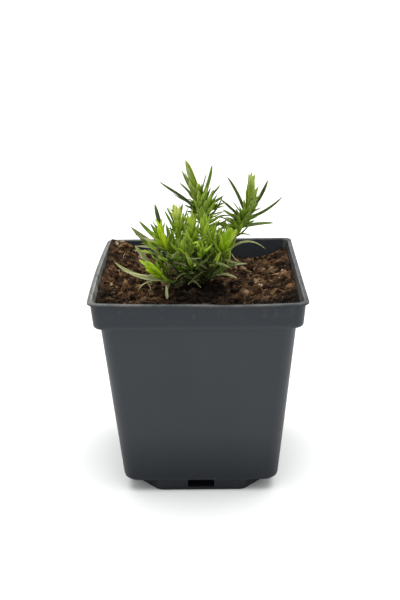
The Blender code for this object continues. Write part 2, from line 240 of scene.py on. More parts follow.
# %% [markdown]
# The floor is one very large pale sheet, so its far edge lies above the view. A dome of even light does
# much of the work, as a light tent in a studio does. A lamp close by would leave the far floor grey, so
# the second light is a very broad sun: it is as bright everywhere, it gives the leaves a lighter upper side,
# and its shadows stay soft. No wall stands behind the pot, so the view is free from every side.

# %% floor and light
FLOOR_RADIUS = 9.0
FLOOR_SIDES = 96
FLOOR_COLOUR = (0.855, 0.86, 0.855)
DOME_COLOUR = (0.98, 0.99, 1.0)
DOME_STRENGTH = 0.92
SUN_STRENGTH = 2.65
SUN_BREADTH = math.radians(62)
SUN_FROM = Vector((0.03, -0.04, 1.0))


def build_floor():
    mesh = bmesh.new()
    bmesh.ops.create_circle(mesh, cap_ends=True, segments=FLOOR_SIDES, radius=FLOOR_RADIUS)
    data = bpy.data.meshes.new("floor")
    mesh.to_mesh(data)
    mesh.free()
    floor = bpy.data.objects.new("floor", data)
    finish = new_finish("pale_floor", Roughness=0.9, Specular_IOR_Level=0.2, Base_Color=(*FLOOR_COLOUR, 1))
    data.materials.append(finish)
    bpy.context.scene.collection.objects.link(floor)


def light_studio():
    world = bpy.data.worlds.new("light_tent")
    world.use_nodes = True
    tent = world.node_tree.nodes["Background"]
    tent.inputs["Color"].default_value = (*DOME_COLOUR, 1)
    tent.inputs["Strength"].default_value = DOME_STRENGTH
    bpy.context.scene.world = world
    lamp = bpy.data.lights.new("broad_sun", "SUN")
    lamp.energy = SUN_STRENGTH
    lamp.angle = SUN_BREADTH
    item = bpy.data.objects.new("broad_sun", lamp)
    item.rotation_mode = "QUATERNION"
    item.rotation_quaternion = SUN_FROM.to_track_quat("Z", "Y")
    bpy.context.scene.collection.objects.link(item)


build_floor()
light_studio()
bpy.context.scene.view_settings.view_transform = "Standard"
print("floor radius in m:", FLOOR_RADIUS)
# %% [markdown]
# ## The pot
# The real pot is one thin shell, moulded in a tool: a square body that narrows downwards, a rim band that
# steps out, a lip, and a hollow base. It could be a cube pushed into shape, but every edge of a moulded
# part is round. So it is a loft: rings of a rounded square, one above the other, follow the shell's section
# up the outside and down the inside. The section is a short list of corners, and one helper rounds them.

# %% the section of the shell
# Corners of the section, in mm: half the width, height, rounding of the section, rounding seen from above.
SHELL_SECTION = (
    (34.3, 5.7, 2.4, 6.0),
    (40.8, 82.1, 0.5, 6.0),
    (43.2, 82.2, 1.1, 4.6),
    (44.0, 93.9, 0.25, 4.4),
    (45.0, 93.9, 0.4, 3.2),
    (45.0, 95.0, 0.45, 3.2),
    (43.1, 95.0, 0.5, 3.4),
    (42.2, 83.2, 0.4, 3.4),
    (39.85, 83.1, 0.5, 5.0),
    (33.4, 6.8, 1.8, 5.0),
)
FLOOR_EDGE = 24.0
FLOOR_EDGE_CORNER = 2.0
ROUNDING_STEPS = 4
CORNER_STEPS = 9
SIDE_STEPS = 14


def bend(before, corner, after, radius, most):
    """Points of a bend in place of a corner. It takes up at most this share of the sides next to it."""
    back, ahead = before - corner, after - corner
    reach = min(radius, most * back.length, most * ahead.length)
    first = corner + back.normalized() * reach
    last = corner + ahead.normalized() * reach
    shares = [step / ROUNDING_STEPS for step in range(ROUNDING_STEPS + 1)]
    return [first.lerp(corner, share).lerp(corner.lerp(last, share), share) for share in shares]


def rounded_section(corners):
    """The section with its corners bent, in mm: half the width, height, rounding seen from above."""
    start = (FLOOR_EDGE, corners[0][1], 0, FLOOR_EDGE_CORNER)
    stop = (FLOOR_EDGE, corners[-1][1], 0, FLOOR_EDGE_CORNER)
    chain = [start, *corners, stop]
    points = [(FLOOR_EDGE, start[1], FLOOR_EDGE_CORNER)]
    for before, corner, after in zip(chain, chain[1:], chain[2:]):
        places = [Vector(item[:2]) for item in (before, corner, after)]
        points += [(place.x, place.y, corner[3]) for place in bend(*places, corner[2], 0.48)]
    points.append((FLOOR_EDGE, stop[1], FLOOR_EDGE_CORNER))
    return points


def quarter_turn(quarter):
    return Matrix.Rotation(math.radians(90) * quarter, 4, "Z")


def square_ring(half, corner, height, side_steps=1):
    """A square with rounded corners, anticlockwise from above. Sizes in mm, points in metres."""
    half, corner, height = half * MM, corner * MM, height * MM
    points = []
    for quarter in range(4):
        turn = quarter_turn(quarter)
        for step in range(CORNER_STEPS + 1):
            angle = math.radians(90) * step / CORNER_STEPS
            offset = Vector((math.cos(angle), math.sin(angle), 0)) * corner
            points.append(turn @ (Vector((half - corner, half - corner, height)) + offset))
        start = Vector((half - corner, half, height))
        stop = Vector((corner - half, half, height))
        points += [turn @ start.lerp(stop, step / side_steps) for step in range(1, side_steps)]
    return points


shell_section = rounded_section(SHELL_SECTION)
print("rings in the shell:", len(shell_section))

# %% skins through rings
def skin(rings):
    """A closed bmesh skin through rings with equal numbers of points."""
    mesh = bmesh.new()
    loops = [[mesh.verts.new(point) for point in ring] for ring in rings]
    for lower, upper in zip(loops, loops[1:]):
        for side, corner in enumerate(lower):
            near = (side + 1) % len(lower)
            mesh.faces.new((corner, lower[near], upper[near], upper[side]))
    mesh.faces.new(reversed(loops[0]))
    mesh.faces.new(loops[-1])
    bmesh.ops.recalc_face_normals(mesh, faces=mesh.faces)
    return mesh


def to_piece(name, mesh, finish=None, smooth_angle=40):
    """An object from a bmesh, in the scene, shaded smooth up to an angle in degrees."""
    data = bpy.data.meshes.new(name)
    mesh.to_mesh(data)
    mesh.free()
    data.shade_smooth()
    data.set_sharp_from_angle(angle=math.radians(smooth_angle))
    item = bpy.data.objects.new(name, data)
    bpy.context.scene.collection.objects.link(item)
    if finish:
        data.materials.append(finish)
    return item


lip_ring = square_ring(45.0, 3.2, 95.0, SIDE_STEPS)
print("points in a ring of the shell:", len(lip_ring))

# %% [markdown]
# The base stands in line with the walls, but its corners are cut away, so that the floor's raised corners
# drain freely. Below it a cross-shaped channel lets the air in, and ends at each side in a low slot that
# looks black, because the light that goes in doesn't come back. On the real pot all this comes out of the
# same tool. Here the base is its own loft, and Boolean modifiers join it, hollow it and cut it.

# %% the outline of the base
# All in mm, from the middle of the pot.
BASE_FOOT_HALF = 32.0
BASE_TOP_HALF = 33.75
BASE_TOP = 6.4
BASE_FRONT = 18.9
BASE_CORNER = 25.2
BASE_ROUNDING = 1.5
CHANNEL_HALF = 5.6
CHANNEL_TOP = 5.0
SLOT_HALF = 5.9
SILL = 5.0
SILL_HEIGHT = 1.8
SLOT_TOP = 6.1
WALL = 1.0


def round_corners(outline):
    """A closed outline with a bend in place of each corner."""
    corners = [Vector(point) for point in outline]
    bent = []
    for index, corner in enumerate(corners):
        after = corners[(index + 1) % len(corners)]
        bent += bend(corners[index - 1], corner, after, BASE_ROUNDING, 0.45)
    return bent


def base_half(height):
    return BASE_FOOT_HALF + (BASE_TOP_HALF - BASE_FOOT_HALF) * height / BASE_TOP


def base_corner(half, inset):
    """Anticlockwise round one quarter, whose corner is cut away, drawn in by inset."""
    aside = inset * math.tan(math.radians(22.5))
    side = half - inset
    front = BASE_FRONT - aside
    turn_in = half - (BASE_CORNER - BASE_FRONT) - aside
    notch = BASE_CORNER - inset
    return [(side, front), (turn_in, notch), (notch, notch), (notch, turn_in), (front, side)]


def base_ring(inset, height):
    quarters = []
    for quarter in range(4):
        turn = quarter_turn(quarter)
        quarters += [(turn @ Vector((x, y, 0))).xy for x, y in base_corner(base_half(height), inset)]
    return [Vector((x, y, height)) * MM for x, y in round_corners(quarters)]


def pad_ring(inset, height, quarter):
    """One quarter of the base beside the channels."""
    near = CHANNEL_HALF + inset
    side = base_half(height) - inset
    outline = [(near, near), (side, near), *base_corner(base_half(height), inset), (near, side)]
    turn = quarter_turn(quarter)
    return [turn @ Vector((x, y, height)) * MM for x, y in round_corners(outline)]


print("points in the base's outline:", len(base_ring(0, 0)))

# %% the shell, joined, hollowed and cut
# Place and radius of the middle hole, and of one in each raised corner, in mm.
CORNER_HOLE = 27.8
HOLES = [(0, 0, 5.0)]
HOLES += [(x * CORNER_HOLE, y * CORNER_HOLE, 2.0) for x, y in ((1, 1), (-1, 1), (-1, -1), (1, -1))]
HOLE_SIDES = 36
BASE_RINGS = ((0.5, 0), (0.15, 0.15), (0, 0.5), (0, BASE_TOP))


def cut_or_join(target, mesh, operation):
    """Joins a closed mesh to the target or cuts it away."""
    tool = to_piece("tool", mesh)
    modifier = target.modifiers.new("tool", "BOOLEAN")
    modifier.operation = operation
    modifier.solver = "EXACT"
    modifier.object = tool
    graph = bpy.context.evaluated_depsgraph_get()
    data = bpy.data.meshes.new_from_object(target.evaluated_get(graph))
    target.modifiers.clear()
    target.data = data
    bpy.data.objects.remove(tool)


def soft_box(low, high, quarter, softness=0.4):
    """A closed box between two corners in mm, its edges bevelled, turned by a number of quarters."""
    low, high = Vector(low) * MM, Vector(high) * MM
    place = Matrix.Translation((low + high) / 2) @ Matrix.Diagonal((*(high - low), 1))
    mesh = bmesh.new()
    bmesh.ops.create_cube(mesh, size=1, matrix=place)
    bmesh.ops.bevel(mesh, geom=mesh.edges, offset=softness * MM, segments=3, profile=0.5, affect="EDGES")
    mesh.transform(quarter_turn(quarter))
    return mesh


def peg(x, y, radius, bottom, top):
    """A closed upright cylinder, in mm."""
    mesh = bmesh.new()
    place = Matrix.Translation(Vector((x, y, (bottom + top) / 2)) * MM)
    sizes = {"radius1": radius * MM, "radius2": radius * MM, "depth": (top - bottom) * MM}
    bmesh.ops.create_cone(mesh, cap_ends=True, segments=HOLE_SIDES, matrix=place, **sizes)
    return mesh


print("holes in the floor of the pot:", len(HOLES))


# %% a pot that gives way
# Damp mix pushes the walls out. How far the rim stands out in the middle of a side, in mm, and how far it
# sags at the front.
BULGES = (((0, -1), 0.9), ((-1, 0), 0.9), ((1, 0), -0.3))
RIM_SAG = 1.2
RIM_HALF = 44
# Between which heights, and how far from the middle, the walls begin to bulge and the front begins to sag.
BULGE_HEIGHTS, BULGE_REACH = (60, 95), (24, 42)
SAG_HEIGHTS, SAG_REACH = (82, 94), (4, 42)


def mid_side(aside):
    """1 in the middle of a side of the rim, less and less towards its corners."""
    return math.cos(math.radians(90) * progress(aside, 0, RIM_HALF)) ** 0.7


def bulged(place, sag=0.0):
    """A place on or in the pot, in metres, moved along with its walls."""
    x, y, z = place / MM
    rise = progress(z, *BULGE_HEIGHTS) ** 1.5
    moved = Vector((x, y, z))
    for way, bulge in BULGES:
        ahead = x * way[0] + y * way[1]
        aside = abs(x * way[1]) + abs(y * way[0])
        moved += Vector((*way, 0)) * bulge * rise * progress(ahead, *BULGE_REACH) * mid_side(aside)
    front = progress(-y, *SAG_REACH) * progress(z, *SAG_HEIGHTS)
    moved.z -= sag * front * (0.45 + 0.55 * mid_side(abs(x)) + 0.45 * progress(x, 0, 12))
    return moved * MM


def settle_walls(pot):
    """Bulges the finished shell, and keeps in the mesh where each point was, for the finish to use."""
    moulded = pot.data.attributes.new("moulded", "FLOAT_VECTOR", "POINT")
    for point, place in zip(pot.data.vertices, moulded.data):
        place.vector = point.co
        point.co = bulged(point.co, RIM_SAG)


rim_front = Vector((0, -45, 95))
rim_move = bulged(rim_front * MM, RIM_SAG) / MM - rim_front
print("the middle of the front rim moves by, in mm:", [round(value, 2) for value in rim_move])

# %% the whole pot
def build_pot(finish):
    rings = [square_ring(half, corner, height, SIDE_STEPS) for half, height, corner in shell_section]
    pot = to_piece("pot_shell", skin(rings))
    cut_or_join(pot, skin([base_ring(inset, height) for inset, height in BASE_RINGS]), "UNION")
    over = BASE_TOP + 2 * WALL
    for quarter in range(4):
        rings = [pad_ring(WALL, WALL, quarter), pad_ring(WALL, over, quarter)]
        cut_or_join(pot, skin(rings), "DIFFERENCE")
    inner = base_half(0) - SILL
    for quarter in range(2):
        box = soft_box((-CHANNEL_HALF, -inner, -WALL), (CHANNEL_HALF, inner, CHANNEL_TOP), quarter)
        cut_or_join(pot, box, "DIFFERENCE")
    for quarter in range(4):
        low = (-SLOT_HALF, -BASE_TOP_HALF - WALL, SILL_HEIGHT)
        box = soft_box(low, (SLOT_HALF, WALL - inner, SLOT_TOP), quarter)
        cut_or_join(pot, box, "DIFFERENCE")
    for x, y, radius in HOLES:
        cut_or_join(pot, peg(x, y, radius, CHANNEL_TOP - WALL, over), "DIFFERENCE")
    settle_walls(pot)
    pot.data.materials.clear()
    pot.data.materials.append(finish)
    pot.data.shade_smooth()
    pot.data.set_sharp_from_angle(angle=math.radians(35))
    return pot


print("rings in the base:", len(BASE_RINGS))

# %% [markdown]
# Nursery pots are polypropylene with a little soot-black and grey in it. The skin is satin: it has the very
# fine grain of the tool, faint flow marks that run up the wall, and a thin film of dried mix where watering
# splashed it. The colour also holds painted light: painted shade towards the foot and deep in the slots,
# a painted highlight along the rim band's low edge and the top of the lip, and painted light that makes the
# left inner wall pale. Apart from that the colour stays almost even, and the roughness carries most of
# the marks.

# %% the pot's finish
POT_GREY = (0.0158, 0.0193, 0.0242)
# Flow marks, and a painted highlight along the low edge of the rim band.
POT_FLOW_AND_HIGHLIGHT = (0.038, 0.042, 0.046)
# Painted shade: the pot darkens towards its foot.
POT_FOOT_SHADE = (0.006, 0.007, 0.009)
# Dried film on the side walls, and painted light that makes the left wall pale.
POT_FILM_AND_LIGHT = (0.36, 0.36, 0.33)
POT_DUST = (0.20, 0.175, 0.145)
# Scuffs on the lip, and a painted highlight along its top.
RIM_SCUFF_AND_HIGHLIGHT = (0.16, 0.158, 0.147)
SLOT_BLACK = (0.011, 0.011, 0.014)
FILM_CORE = 39.2


def wall_film_and_light(finish, moulded):
    """Dried film and painted light inside above the mix: most on the left wall, none at the back."""
    sideways, depth, height = parts_of(finish, moulded)
    place = vector_step(finish, "MULTIPLY", moulded, (1, 1, 0))[0]
    place = vector_step(finish, "ABSOLUTE", place)[0]
    place = vector_step(finish, "SUBTRACT", place, (FILM_CORE * MM, FILM_CORE * MM, 0))[0]
    place = vector_step(finish, "MAXIMUM", place, (0, 0, 0))[0]
    reach = vector_step(finish, "LENGTH", place)["Value"]
    lean = over_mm(finish, height, 83, 95, 3.5 * MM, 4.35 * MM)
    inside = over_mm(finish, combine(finish, "SUBTRACT", reach, lean), 0.1, 0.0)
    side_wall = over_mm(finish, size_of(finish, sideways), 40.6, 41.6)
    above_mix = over_mm(finish, height, 84, 85)
    # Painted light: much more on the left wall than on the right.
    left = over_mm(finish, sideways, -30, 30, 0.95, 0.35)
    patches = ranged(finish, grain(finish, 120, 4, 0.65), 0.3, 0.62, 0.25, 1.0)
    front = over_mm(finish, depth, 40, -30, 0.35, 1.0)
    return combine(finish, "MULTIPLY", inside, side_wall, above_mix, left, patches, front)


def slot_shade(finish, moulded):
    """1 on the faces deep in the slots and the channel, which hardly any light reaches."""
    sideways, depth, height = parts_of(finish, moulded)
    sizes = [size_of(finish, sideways), size_of(finish, depth)]
    outward = combine(finish, "MAXIMUM", *sizes)
    outward = combine(finish, "SUBTRACT", outward, over_mm(finish, height, 1.5, 1.8, 0.0, 1.4 * MM))
    behind = over_mm(finish, outward, 31.2, 30.9)
    under = over_mm(finish, height, 6.2, 6.0)
    between = over_mm(finish, combine(finish, "MINIMUM", *sizes), 6.2, 6.0)
    return combine(finish, "MULTIPLY", behind, under, between)


def pot_finish():
    finish = new_finish("moulded_plastic")
    moulded = from_mesh(finish, "moulded", "Vector")
    sideways, _, height = parts_of(finish, moulded)
    flow = grain(finish, 60, 3, 0.6, stretch=(1, 1, 0.12))
    cloud = grain(finish, 35, 4, 0.6)
    # Painted highlight along the low edge of the rim band.
    edge = over_mm(finish, height, 84.6, 83.2, 0.0, 0.5)
    edge = combine(finish, "MULTIPLY", over_mm(finish, height, 81.0, 82.1), edge)
    specks = ranged(finish, grain(finish, 420, 4, 0.7), 0.56, 0.74)
    dust = combine(finish, "MULTIPLY", specks, over_mm(finish, height, 82, 96, 0.0, 0.22))
    # Scuffs and a painted highlight along the top of the lip, stronger on the left.
    scuffs_and_highlight = ranged(finish, grain(finish, 160, 4, 0.7), 0.35, 0.7, 0.05, 0.6)
    scuffs_and_highlight = combine(finish, "ADD", scuffs_and_highlight, over_mm(finish, sideways, -44, -22, 0.4, 0.0))
    colour = layered(finish, POT_GREY, (
        (ranged(finish, flow, 0.4, 0.75, 0.0, 0.12), POT_FLOW_AND_HIGHLIGHT),
        # Painted shade, darker towards the foot.
        (over_mm(finish, height, 4, 34, 0.48, 0.0), POT_FOOT_SHADE),
        (edge, POT_FLOW_AND_HIGHLIGHT),
        (dust, POT_DUST),
        (combine(finish, "MULTIPLY", scuffs_and_highlight, over_mm(finish, height, 94.3, 94.8)), RIM_SCUFF_AND_HIGHLIGHT),
        (wall_film_and_light(finish, moulded), POT_FILM_AND_LIGHT),
        (slot_shade(finish, moulded), SLOT_BLACK),
    ))
    rough = combine(finish, "ADD", ranged(finish, cloud, 0.3, 0.7, 0.40, 0.50), dust)
    gloss = over_mm(finish, height, 0, 30, 0.08, 0.34)
    gloss = combine(finish, "SUBTRACT", gloss, over_mm(finish, height, 81, 83, 0.0, 0.10))
    relief = bump(finish, grain(finish, 2600, 2), 0.02 * MM, 0.5, under=bump(finish, cloud, 0.25 * MM, 0.35))
    set_shader(finish, Base_Color=colour, Roughness=rough, Specular_IOR_Level=gloss, Normal=relief)
    return finish


pot = build_pot(pot_finish())
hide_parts("pot")
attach(pot, "root")
print("pot faces:", len(pot.data.polygons))

# %% [markdown]
# ## The potting mix
# The mix on the real pot is peat with shreds of bark, dry on top: a ground of fine crumbs, larger crumbs and
# chips lying on it, fibres that stick out, and a few pale grains. A bumpy plane with a brown finish would
# look like felt from close by. So the ground is a dense grid with real relief, and everything that lies on
# it is a small solid of its own shape, turned and sized by chance from one fixed seed.

# %% the ground
# All in mm. Mounds and one hollow: place, rise, and how far each spreads. The first is the corner's heap.
MIX_LEVEL = 85.0
MOUNDS = (
    (-33.5, 38.0, 6.0, 8.8),
    (2.0, -6.0, 1.2, 9.0),
    (30.0, 20.0, -0.8, 8.0),
    (20.0, -32.0, 0.7, 9.0),
    (-22.0, -34.0, 0.5, 8.0),
)
# The mix climbs to the left and right walls: its rise there, and where the climb starts and ends.
LEFT_RISE, RIGHT_RISE = 7.0, 5.8
RISE_START, RISE_END = 26.0, 41.5
MIX_HALF = 42.0
WALL_LEAN = 0.076
MIX_CORNER = 3.0
MIX_CELLS = 132
SKIRT_DEPTH = 83.6
# Width and height of its lumps at three sizes.
LUMPY = ((5.5, 1.3), (2.2, 0.85), (0.8, 0.32))
# The sides of its body: half the width, rounding seen from above, height.
BODY_RINGS = ((30.6, 4.0, 7.2), (33.2, 4.7, 9.8), (39.3, 4.7, 82.0), (39.4, 4.7, 83.5))


def ground_height(x, y):
    """Height of the mix at a place, in mm: level, heaped at the back left, lumpy at three sizes."""
    level = MIX_LEVEL
    for centre_x, centre_y, rise, spread in MOUNDS:
        near = ((x - centre_x) ** 2 + (y - centre_y) ** 2) / spread**2
        level += rise * math.exp(-0.5 * near)
    climb = progress(abs(x), RISE_START, RISE_END) ** 1.6
    level += climb * (LEFT_RISE if x < 0 else RIGHT_RISE) * (1 - 0.3 * max(0.0, -y) / MIX_HALF)
    for size, rise in LUMPY:
        level += rise * noise.noise(Vector((x / size, y / size, size)))
    return level


def rounded_place(u, v):
    """A point of the square from -1 to 1 moved into the rounded square of the pot's inside, in mm."""
    x, y = u * MIX_HALF, v * MIX_HALF
    far = MIX_HALF - MIX_CORNER
    over = Vector((max(abs(x) - far, 0), max(abs(y) - far, 0)))
    if over.x and over.y and over.length > MIX_CORNER:
        over *= MIX_CORNER / over.length
        x = math.copysign(far + over.x, x)
        y = math.copysign(far + over.y, y)
    return x, y


def build_mix(finish):
    """The body of the mix under a dense lumpy ground."""
    mesh = skin([square_ring(*sizes) for sizes in BODY_RINGS])
    steps = [2 * step / MIX_CELLS - 1 for step in range(MIX_CELLS + 1)]
    rows = []
    for v in steps:
        row = []
        for u in steps:
            x, y = rounded_place(u, v)
            height = ground_height(x, y)
            widen = 1 + WALL_LEAN * max(0.0, height - MIX_LEVEL) / MIX_HALF
            row.append(mesh.verts.new(bulged(Vector((x * widen, y * widen, height)) * MM)))
        rows.append(row)
    for lower, upper in zip(rows, rows[1:]):
        for a, b, c, d in zip(lower, lower[1:], upper[1:], upper):
            mesh.faces.new((a, b, c, d))
    rim = [row[-1] for row in rows] + rows[-1][-2::-1] + [row[0] for row in rows[-2::-1]] + rows[0][1:-1]
    skirt = [mesh.verts.new(Vector((*corner.co.xy, SKIRT_DEPTH * MM))) for corner in rim]
    for side, corner in enumerate(rim):
        near = (side + 1) % len(rim)
        mesh.faces.new((corner, skirt[side], skirt[near], rim[near]))
    mesh.faces.new(skirt)
    bmesh.ops.recalc_face_normals(mesh, faces=mesh.faces)
    return to_piece("mix_ground", mesh, finish, smooth_angle=60)


print("cells on the ground:", MIX_CELLS**2)

# %% [markdown]
# The finish of the mix has to stay dark: peat is nearly black when damp and warm brown when dry. Each crumb
# holds a number of its own, its tone, and the colour scale turns it into peat, bark or straw. Painted shade
# darkens it further under the cushion and towards the front wall.

# %% the finish of the mix
MIX_STOPS = (
    (0.0, (0.0055, 0.0034, 0.0020)),
    (0.3, (0.023, 0.0125, 0.0062)),
    (0.55, (0.088, 0.046, 0.020)),
    (0.78, (0.195, 0.112, 0.054)),
    (1.0, (0.43, 0.33, 0.21)),
)
# Painted shade on the mix: centre and reach of the dark patch under the cushion, and its near-black colour.
MIX_SHADE_CENTRE = Vector((0, -9, 86)) * MM
MIX_SHADE_REACH = Vector((17, 15, 14)) * MM
MIX_SHADE_COLOUR = (0.003, 0.0022, 0.0015)


def mix_finish(name, from_tone):
    """Brown and rough. The tone comes from the mesh, or from noise on the ground. Painted shade in front and
    under the cushion.
    """
    finish = new_finish(name, Roughness=0.92, Specular_IOR_Level=0.1)
    speck = grain(finish, 700, 3, 0.65)
    if from_tone:
        tone = combine(finish, "MULTIPLY", from_mesh(finish, "tone"), 0.78)
        tone = combine(finish, "ADD", tone, combine(finish, "MULTIPLY", speck, 0.2))
    else:
        tone = combine(finish, "MULTIPLY", grain(finish, 130, 4, 0.7), speck, 1.35)
    patch = combine(finish, "SUBTRACT", grain(finish, 240, 2, 0.5), 0.5)
    tone = combine(finish, "ADD", tone, combine(finish, "MULTIPLY", patch, 1.1))
    # Painted shade: darker round the middle of the cushion and towards the front wall.
    place = vector_step(finish, "SUBTRACT", coordinates(finish), MIX_SHADE_CENTRE)[0]
    place = vector_step(finish, "DIVIDE", place, MIX_SHADE_REACH)[0]
    wander = combine(finish, "MULTIPLY", grain(finish, 90, 3, 0.6), 0.5)
    away = combine(finish, "ADD", vector_step(finish, "LENGTH", place)["Value"], wander)
    wander = combine(finish, "MULTIPLY", grain(finish, 110, 2, 0.5), 8 * MM)
    front = combine(finish, "ADD", parts_of(finish, coordinates(finish))["Y"], wander)
    colour = layered(finish, colour_scale(finish, tone, MIX_STOPS), (
        (ranged(finish, away, 0.85, 1.5, 0.9, 0.0), MIX_SHADE_COLOUR),
        (over_mm(finish, front, -9, -16, 0.0, 0.75), MIX_SHADE_COLOUR),
    ))
    set_shader(finish, Base_Color=colour, Normal=bump(finish, grain(finish, 1600, 4, 0.7), 0.12 * MM, 0.7))
    return finish


ground = build_mix(mix_finish("peat", False))
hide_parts("potting_mix")
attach(ground, "root")
print("ground faces:", len(ground.data.polygons))

# %% [markdown]
# Crumbs, chips and fibres are too many for objects of their own. One maker collects thousands of small
# solids in plain lists of points and faces, with the tone of each, and turns them into one mesh at the end.

# %% a maker for many small solids
class Heap:
    """Collects small closed solids in mm and makes one mesh of them. Each point holds a tone from 0 to 1,
    a share (how far along its solid it lies) and a middle (1 on the middle line of a blade, 0 off it)."""

    def __init__(self):
        self.points, self.faces = [], []
        self.values = {"tone": [], "share": [], "middle": []}

    def add(self, points, faces, tone, shares=None, middles=None):
        start = len(self.points)
        self.points.extend(points)
        self.faces.extend([tuple(index + start for index in face) for face in faces])
        self.values["tone"].extend([tone] * len(points))
        self.values["share"].extend(shares or [0.0] * len(points))
        self.values["middle"].extend(middles or [0.0] * len(points))

    def add_rings(self, rings, tone, middle=None):
        """A closed skin through rings of points, all with the same number of points."""
        sides = len(rings[0])
        faces = [tuple(range(sides - 1, -1, -1))]
        for low in range(0, (len(rings) - 1) * sides, sides):
            for side in range(sides):
                near = (side + 1) % sides
                faces.append((low + side, low + near, low + sides + near, low + sides + side))
        last = (len(rings) - 1) * sides
        faces.append(tuple(range(last, last + sides)))
        shares = [index / (len(rings) - 1) for index in range(len(rings)) for _ in range(sides)]
        points = [point for ring in rings for point in ring]
        self.add(points, faces, tone, shares, middle * len(rings) if middle else None)

    def add_tube(self, route, radii, sides, tone):
        """A tube through the route. A radius may be a pair: across and up."""
        rings = []
        across = None
        for index, place in enumerate(route):
            ahead = route[min(index + 1, len(route) - 1)] - route[max(index - 1, 0)]
            ahead.normalize()
            guide = across or Vector((ahead.y, -ahead.x, 0.01))
            across = (guide - ahead * guide.dot(ahead)).normalized()
            rise = across.cross(ahead)
            wide, thick = radii[index] if isinstance(radii[index], tuple) else (radii[index], radii[index])
            ring = []
            for side in range(sides):
                angle = 2 * math.pi * side / sides
                ring.append(place + across * wide * math.cos(angle) + rise * thick * math.sin(angle))
            rings.append(ring)
        self.add_rings(rings, tone)

    def to_piece(self, name, finish, smooth_angle=60):
        data = bpy.data.meshes.new("heap")
        data.from_pydata([tuple(Vector(point) * MM) for point in self.points], [], self.faces)
        for label, values in self.values.items():
            data.attributes.new(label, "FLOAT", "POINT").data.foreach_set("value", values)
        mesh = bmesh.new()
        mesh.from_mesh(data)
        bpy.data.meshes.remove(data)
        bmesh.ops.recalc_face_normals(mesh, faces=mesh.faces)
        return to_piece(name, mesh, finish, smooth_angle)


def ball_shape(splits):
    """Points and faces of a ball of radius 1 built from triangles."""
    mesh = bmesh.new()
    bmesh.ops.create_icosphere(mesh, subdivisions=splits, radius=1)
    points = [point.co.copy() for point in mesh.verts]
    faces = [tuple(point.index for point in face.verts) for face in mesh.faces]
    mesh.free()
    return points, faces


SMALL_BALL = ball_shape(1)
LARGE_BALL = ball_shape(2)
print("points in a crumb:", len(SMALL_BALL[0]), "and in a lump:", len(LARGE_BALL[0]))

# %% crumbs
CRUMBS = 2300
LUMPS = 420
CHIPS = 170
FIBRES = 230
MIX_REACH = 41.2
# Pale grains that lie in plain view, in mm: place and size.
PALE_GRAINS = (
    (-39.6, 34.0, 1.4), (-37.5, 40.0, 1.5), (-38.5, -8.5, 1.0), (24.6, 3.5, 1.0),
    (27.0, 7.2, 1.1), (33.9, 14.8, 1.1), (38.0, 16.6, 0.9), (37.9, 3.7, 1.9),
    (28.8, -19.8, 1.2), (-35.6, -22.6, 1.0), (-29.1, -19.9, 0.9), (22.0, 16.6, 0.8),
)

lots = random.Random(4107)


def random_turn():
    return Quaternion([lots.gauss(0, 1) for _ in range(4)]).normalized()


def lie(x, y, sink):
    return Vector((x, y, ground_height(x, y) + sink))


def random_spot():
    return lots.uniform(-MIX_REACH, MIX_REACH), lots.uniform(-MIX_REACH, MIX_REACH)


def add_crumb(heap, place, size, tone, ball=SMALL_BALL, rough=0.28):
    """A lump of broken outline: a ball stretched, turned, and pushed in and out by noise."""
    points, faces = ball
    turn = random_turn()
    stretch = Vector((lots.uniform(0.7, 1.3), lots.uniform(0.6, 1.0), lots.uniform(0.45, 0.8))) * size
    shift = Vector([lots.uniform(-50, 50) for _ in range(3)])
    shaped = []
    for point in points:
        push = 1 + rough * 2 * noise.noise(point * 1.7 + shift)
        shaped.append(place + turn @ (Vector(a * b for a, b in zip(point, stretch)) * push))
    heap.add(shaped, faces, tone)


def crumb_tone():
    """Mostly dark peat, some bark, now and then straw."""
    return held(lots.gauss(0.46, 0.24) + (0.35 if lots.random() < 0.07 else 0))


print("height of the mix in the middle, in mm:", round(ground_height(0, 0), 2))

# %% chips and fibres
SHRED_RINGS = 7


def add_chip(heap, x, y, length, width, thick, heading, tilt, tone, sink=0.35):
    """A splinter of bark: long, flat, with a broken outline."""
    along = Vector((math.cos(heading) * math.cos(tilt), math.sin(heading) * math.cos(tilt), math.sin(tilt)))
    side = Vector((-math.sin(heading), math.cos(heading), 0))
    middle = lie(x, y, sink)
    route, radii = [], []
    curve = lots.uniform(-0.12, 0.12) * length
    for step in range(SHRED_RINGS):
        share = step / (SHRED_RINGS - 1)
        swell = math.sin(math.pi * held(share, 0.03, 0.97)) ** 0.4
        route.append(middle + along * (share - 0.5) * length + side * curve * (share - 0.5) ** 2)
        wide = width * 0.5 * swell * lots.uniform(0.75, 1.15)
        radii.append((wide, thick * 0.5 * swell * lots.uniform(0.8, 1.2)))
    heap.add_tube(route, radii, 6, tone)


def add_fibre(heap, x, y, length, heading, rise, tone, thick=0.13):
    """A thin root or peat fibre that wanders over the ground."""
    place = lie(x, y, 0.1)
    route = [place]
    for step in range(1, SHRED_RINGS):
        heading += lots.gauss(0, 0.28)
        place = place + Vector((math.cos(heading), math.sin(heading), 0)) * length / (SHRED_RINGS - 1)
        level = ground_height(place.x, place.y)
        lift = rise * math.sin(math.pi * (step / (SHRED_RINGS - 1)))
        place = Vector((place.x, place.y, level + 0.15 + lift))
        route.append(place)
    limit = MIX_REACH + 0.3
    if max(max(abs(point.x), abs(point.y)) for point in route) > limit:
        return
    radii = [thick * (1 - 0.55 * abs(2 * step / (SHRED_RINGS - 1) - 1)) for step in range(SHRED_RINGS)]
    heap.add_tube(route, radii, 5, tone)


print("rings in a chip or a fibre:", SHRED_RINGS)


